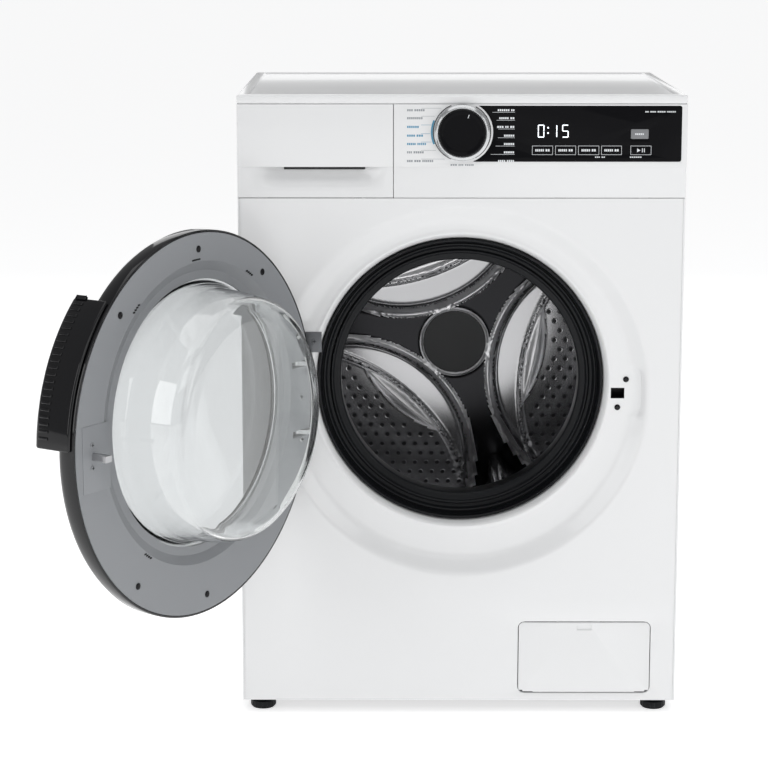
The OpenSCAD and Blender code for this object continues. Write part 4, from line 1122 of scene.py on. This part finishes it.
# %% [markdown]
# ## The door
# New door pieces are modelled closed, where the ring is square to the axes, and swung open
# about the hinge pin at the end. A clear bowl keeps the laundry off the window, a grey ring
# carries the screws and the lock's hook, and a black shell faces the room.

# %% Hang a closed piece on the open door
def hang(name, bm, materials, replaced=(), body="door", smooth=34):
    turn = Matrix.Rotation(-DOOR_TURN, 3, "Z")
    bmesh.ops.rotate(bm, verts=bm.verts, cent=HINGE, matrix=turn)
    return add_piece(name, bm, materials, body, replaced, smooth)


# %% Clear bowl
bowl = bmesh.new()
wall = 4
mouth_y, end_y = FRONT - 13, FRONT + 86
outside = [(190, mouth_y), (190, mouth_y + wall), (168, mouth_y + wall), (161, FRONT + 12),
           (158, FRONT + 46), (153, end_y - 14), (142, end_y - 3), (128, end_y), (0, end_y)]
inside = [(0, end_y - wall), (127, end_y - wall), (140, end_y - 7), (149, end_y - 15),
          (154, FRONT + 45), (157, FRONT + 11), (164, mouth_y)]
shell = eased(outside, 5, 5, closed=False) + eased(inside, 5, 5, closed=False)
spun(bowl, shell, (0, AXIS_Z), 192)
hang("door_bowl", bowl, [CLEAR], ("door_glass",), smooth=60)

# %% Screws, plate and slots of the inner ring
SCREW_CIRCLE_R, VENT_R = 224, 197
details = bmesh.new()
for degrees in (46, 90, 127, 222, 268, 306):
    x = DOOR_X + SCREW_CIRCLE_R * math.cos(math.radians(degrees))
    z = DOOR_Z + SCREW_CIRCLE_R * math.sin(math.radians(degrees))
    screw_head(details, (x, FRONT + 0.1, z), 4.4, 1.2, facing=1)
for face in details.faces:
    face.material_index = 1
# Each slot is a thin black block on the ring's face, painted shade where the opening is.
for degrees in (50, 88, 122, 305):
    for step in range(4):
        turn = math.radians(degrees - 1.8 + 1.2 * step)
        x, z = VENT_R * math.cos(turn), AXIS_Z + VENT_R * math.sin(turn)
        vent = block(details, (x - 2.2, FRONT - 0.4, z - 1.1), (x + 2.2, FRONT + 0.25, z + 1.1))
        painted(vent, 1)
for z in (390, 449):
    screw_head(details, (-219, FRONT + 0.7, z), 3.4, 1.2, facing=1)
hang("ring_screws", details, [ZINC, BLACK], ("door_screws",))
plate = bmesh.new()
block(plate, (182, FRONT - 0.5, LATCH_Z - 44), (233, FRONT + 0.7, LATCH_Z + 38))
round_edges(plate, 0.5, 2)
for z in (LATCH_Z - 14, LATCH_Z + 14):
    screw_head(plate, (216, FRONT + 0.7, z), 3.4, 1.2, facing=1)
hang("latch_plate", plate, [GREY, BLACK])

# %% Shell and handle
RIB_R = 251.6
soft_copy("door_shell", "door_outer_frame", 0.8, 2, DOOR_GLOSS, "door", smooth=40)
soft_copy("handle_grip", "door_handle", 5.0, 5, DOOR_GLOSS, "door", smooth=40)
ribs = bmesh.new()
for i in range(22):
    turn = math.radians(5 + i * 1.95)
    c, s = math.cos(turn), math.sin(turn)
    for vert in block(ribs, (-1.9, FRONT - 50, -1.1), (1.9, FRONT - 36, 2.2)):
        across, out = vert.co.x, vert.co.z + RIB_R * MM
        vert.co.x = DOOR_X * MM + out * c - across * s
        vert.co.z = DOOR_Z * MM + out * s + across * c
round_edges(ribs, 1.0, 3)
hang("handle_ribs", ribs, [DOOR_GLOSS])

# %% [markdown]
# ## Flap, feet and hinge
# The filter flap and the rear cover already have their shape in the frame, so each is a
# softened copy. The feet get a ring of small grips, because a levelling foot is turned by
# hand, and the hinge gets a small cover plate on the floor of the recess.

# %% Flap and service cover
soft_copy("flap_moulding", "filter_flap", 0.5, 2, WHITE, "flap")
soft_copy("rear_cover_sheet", "rear_service_cover", 0.5, 2, GALVANISED, "cabinet")

# %% Feet
for foot in ("foot_front_left", "foot_front_right", "foot_rear_left", "foot_rear_right"):
    low, high = box_mm(foot)
    x, y = (low.x + high.x) / 2, (low.y + high.y) / 2
    reach = (high.x - low.x) / 2 - 0.6
    grips = bmesh.new()
    for i in range(20):
        turn = 2 * math.pi * i / 20
        c, s = math.cos(turn), math.sin(turn)
        for vert in block(grips, (-1.2, -0.9, 2.5), (1.2, 0.9, 9)):
            a, b = vert.co.x, vert.co.y
            vert.co.x = (x + reach * c) * MM + a * c - b * s
            vert.co.y = (y + reach * s) * MM + a * s + b * c
    round_edges(grips, 0.35, 2)
    add_piece(foot + "_grips", grips, [RUBBER], foot + "_body")

# %% The hinge's cover plate on the recess floor, with its screw
hinge_cover = bmesh.new()
block(hinge_cover, (-212, FLOOR_Y - 1.2, LATCH_Z + 56), (-187, FLOOR_Y, LATCH_Z + 84))
round_edges(hinge_cover, 0.8, 3)
painted(hinge_cover.verts, 2)
screw_head(hinge_cover, (-197, FLOOR_Y - 1.2, LATCH_Z + 71), 4.2, 1.8)
COVER_GREY = finish("cover_grey", (0.16, 0.165, 0.175), 0.35, metallic=0.6, drift=0.1, grain=700,
                    depth=0.02)
add_piece("hinge_cover", hinge_cover, [COVER_GREY, PAINTED_SHADE, COVER_GREY], "cabinet")

# %% [markdown]
# ## Floor and sizes
# The floor is one wide pale sheet of backdrop paper that glows faintly, as paper lit from
# behind does, so it stays white far behind the machine too. The last lines write down how big
# the frame and the finished look are, so that they can be compared.

# %% Floor
floor_mesh = bmesh.new()
bmesh.ops.create_grid(floor_mesh, x_segments=1, y_segments=1, size=60)
floor = bpy.data.objects.new("floor", bpy.data.meshes.new("floor"))
floor_mesh.to_mesh(floor.data)
floor_mesh.free()
paper = finish("floor_paper", (0.90, 0.90, 0.90), 0.9, drift=0.01, grain=40, depth=0.02)
paper.node_tree.nodes["Principled BSDF"].inputs["Emission Color"].default_value = (1, 1, 1, 1)
paper.node_tree.nodes["Principled BSDF"].inputs["Emission Strength"].default_value = 0.62
floor.data.materials.append(paper)
bpy.context.scene.collection.objects.link(floor)
floor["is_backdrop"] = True

# %% Compare the sizes and finish
look_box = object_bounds()
for axis, letter in enumerate("xyz"):
    low = (look_box[0][axis] - cad_box[0][axis]) / MM
    high = (look_box[1][axis] - cad_box[1][axis]) / MM
    print(f"{letter}: look against frame {low:+.1f} mm low, {high:+.1f} mm high")
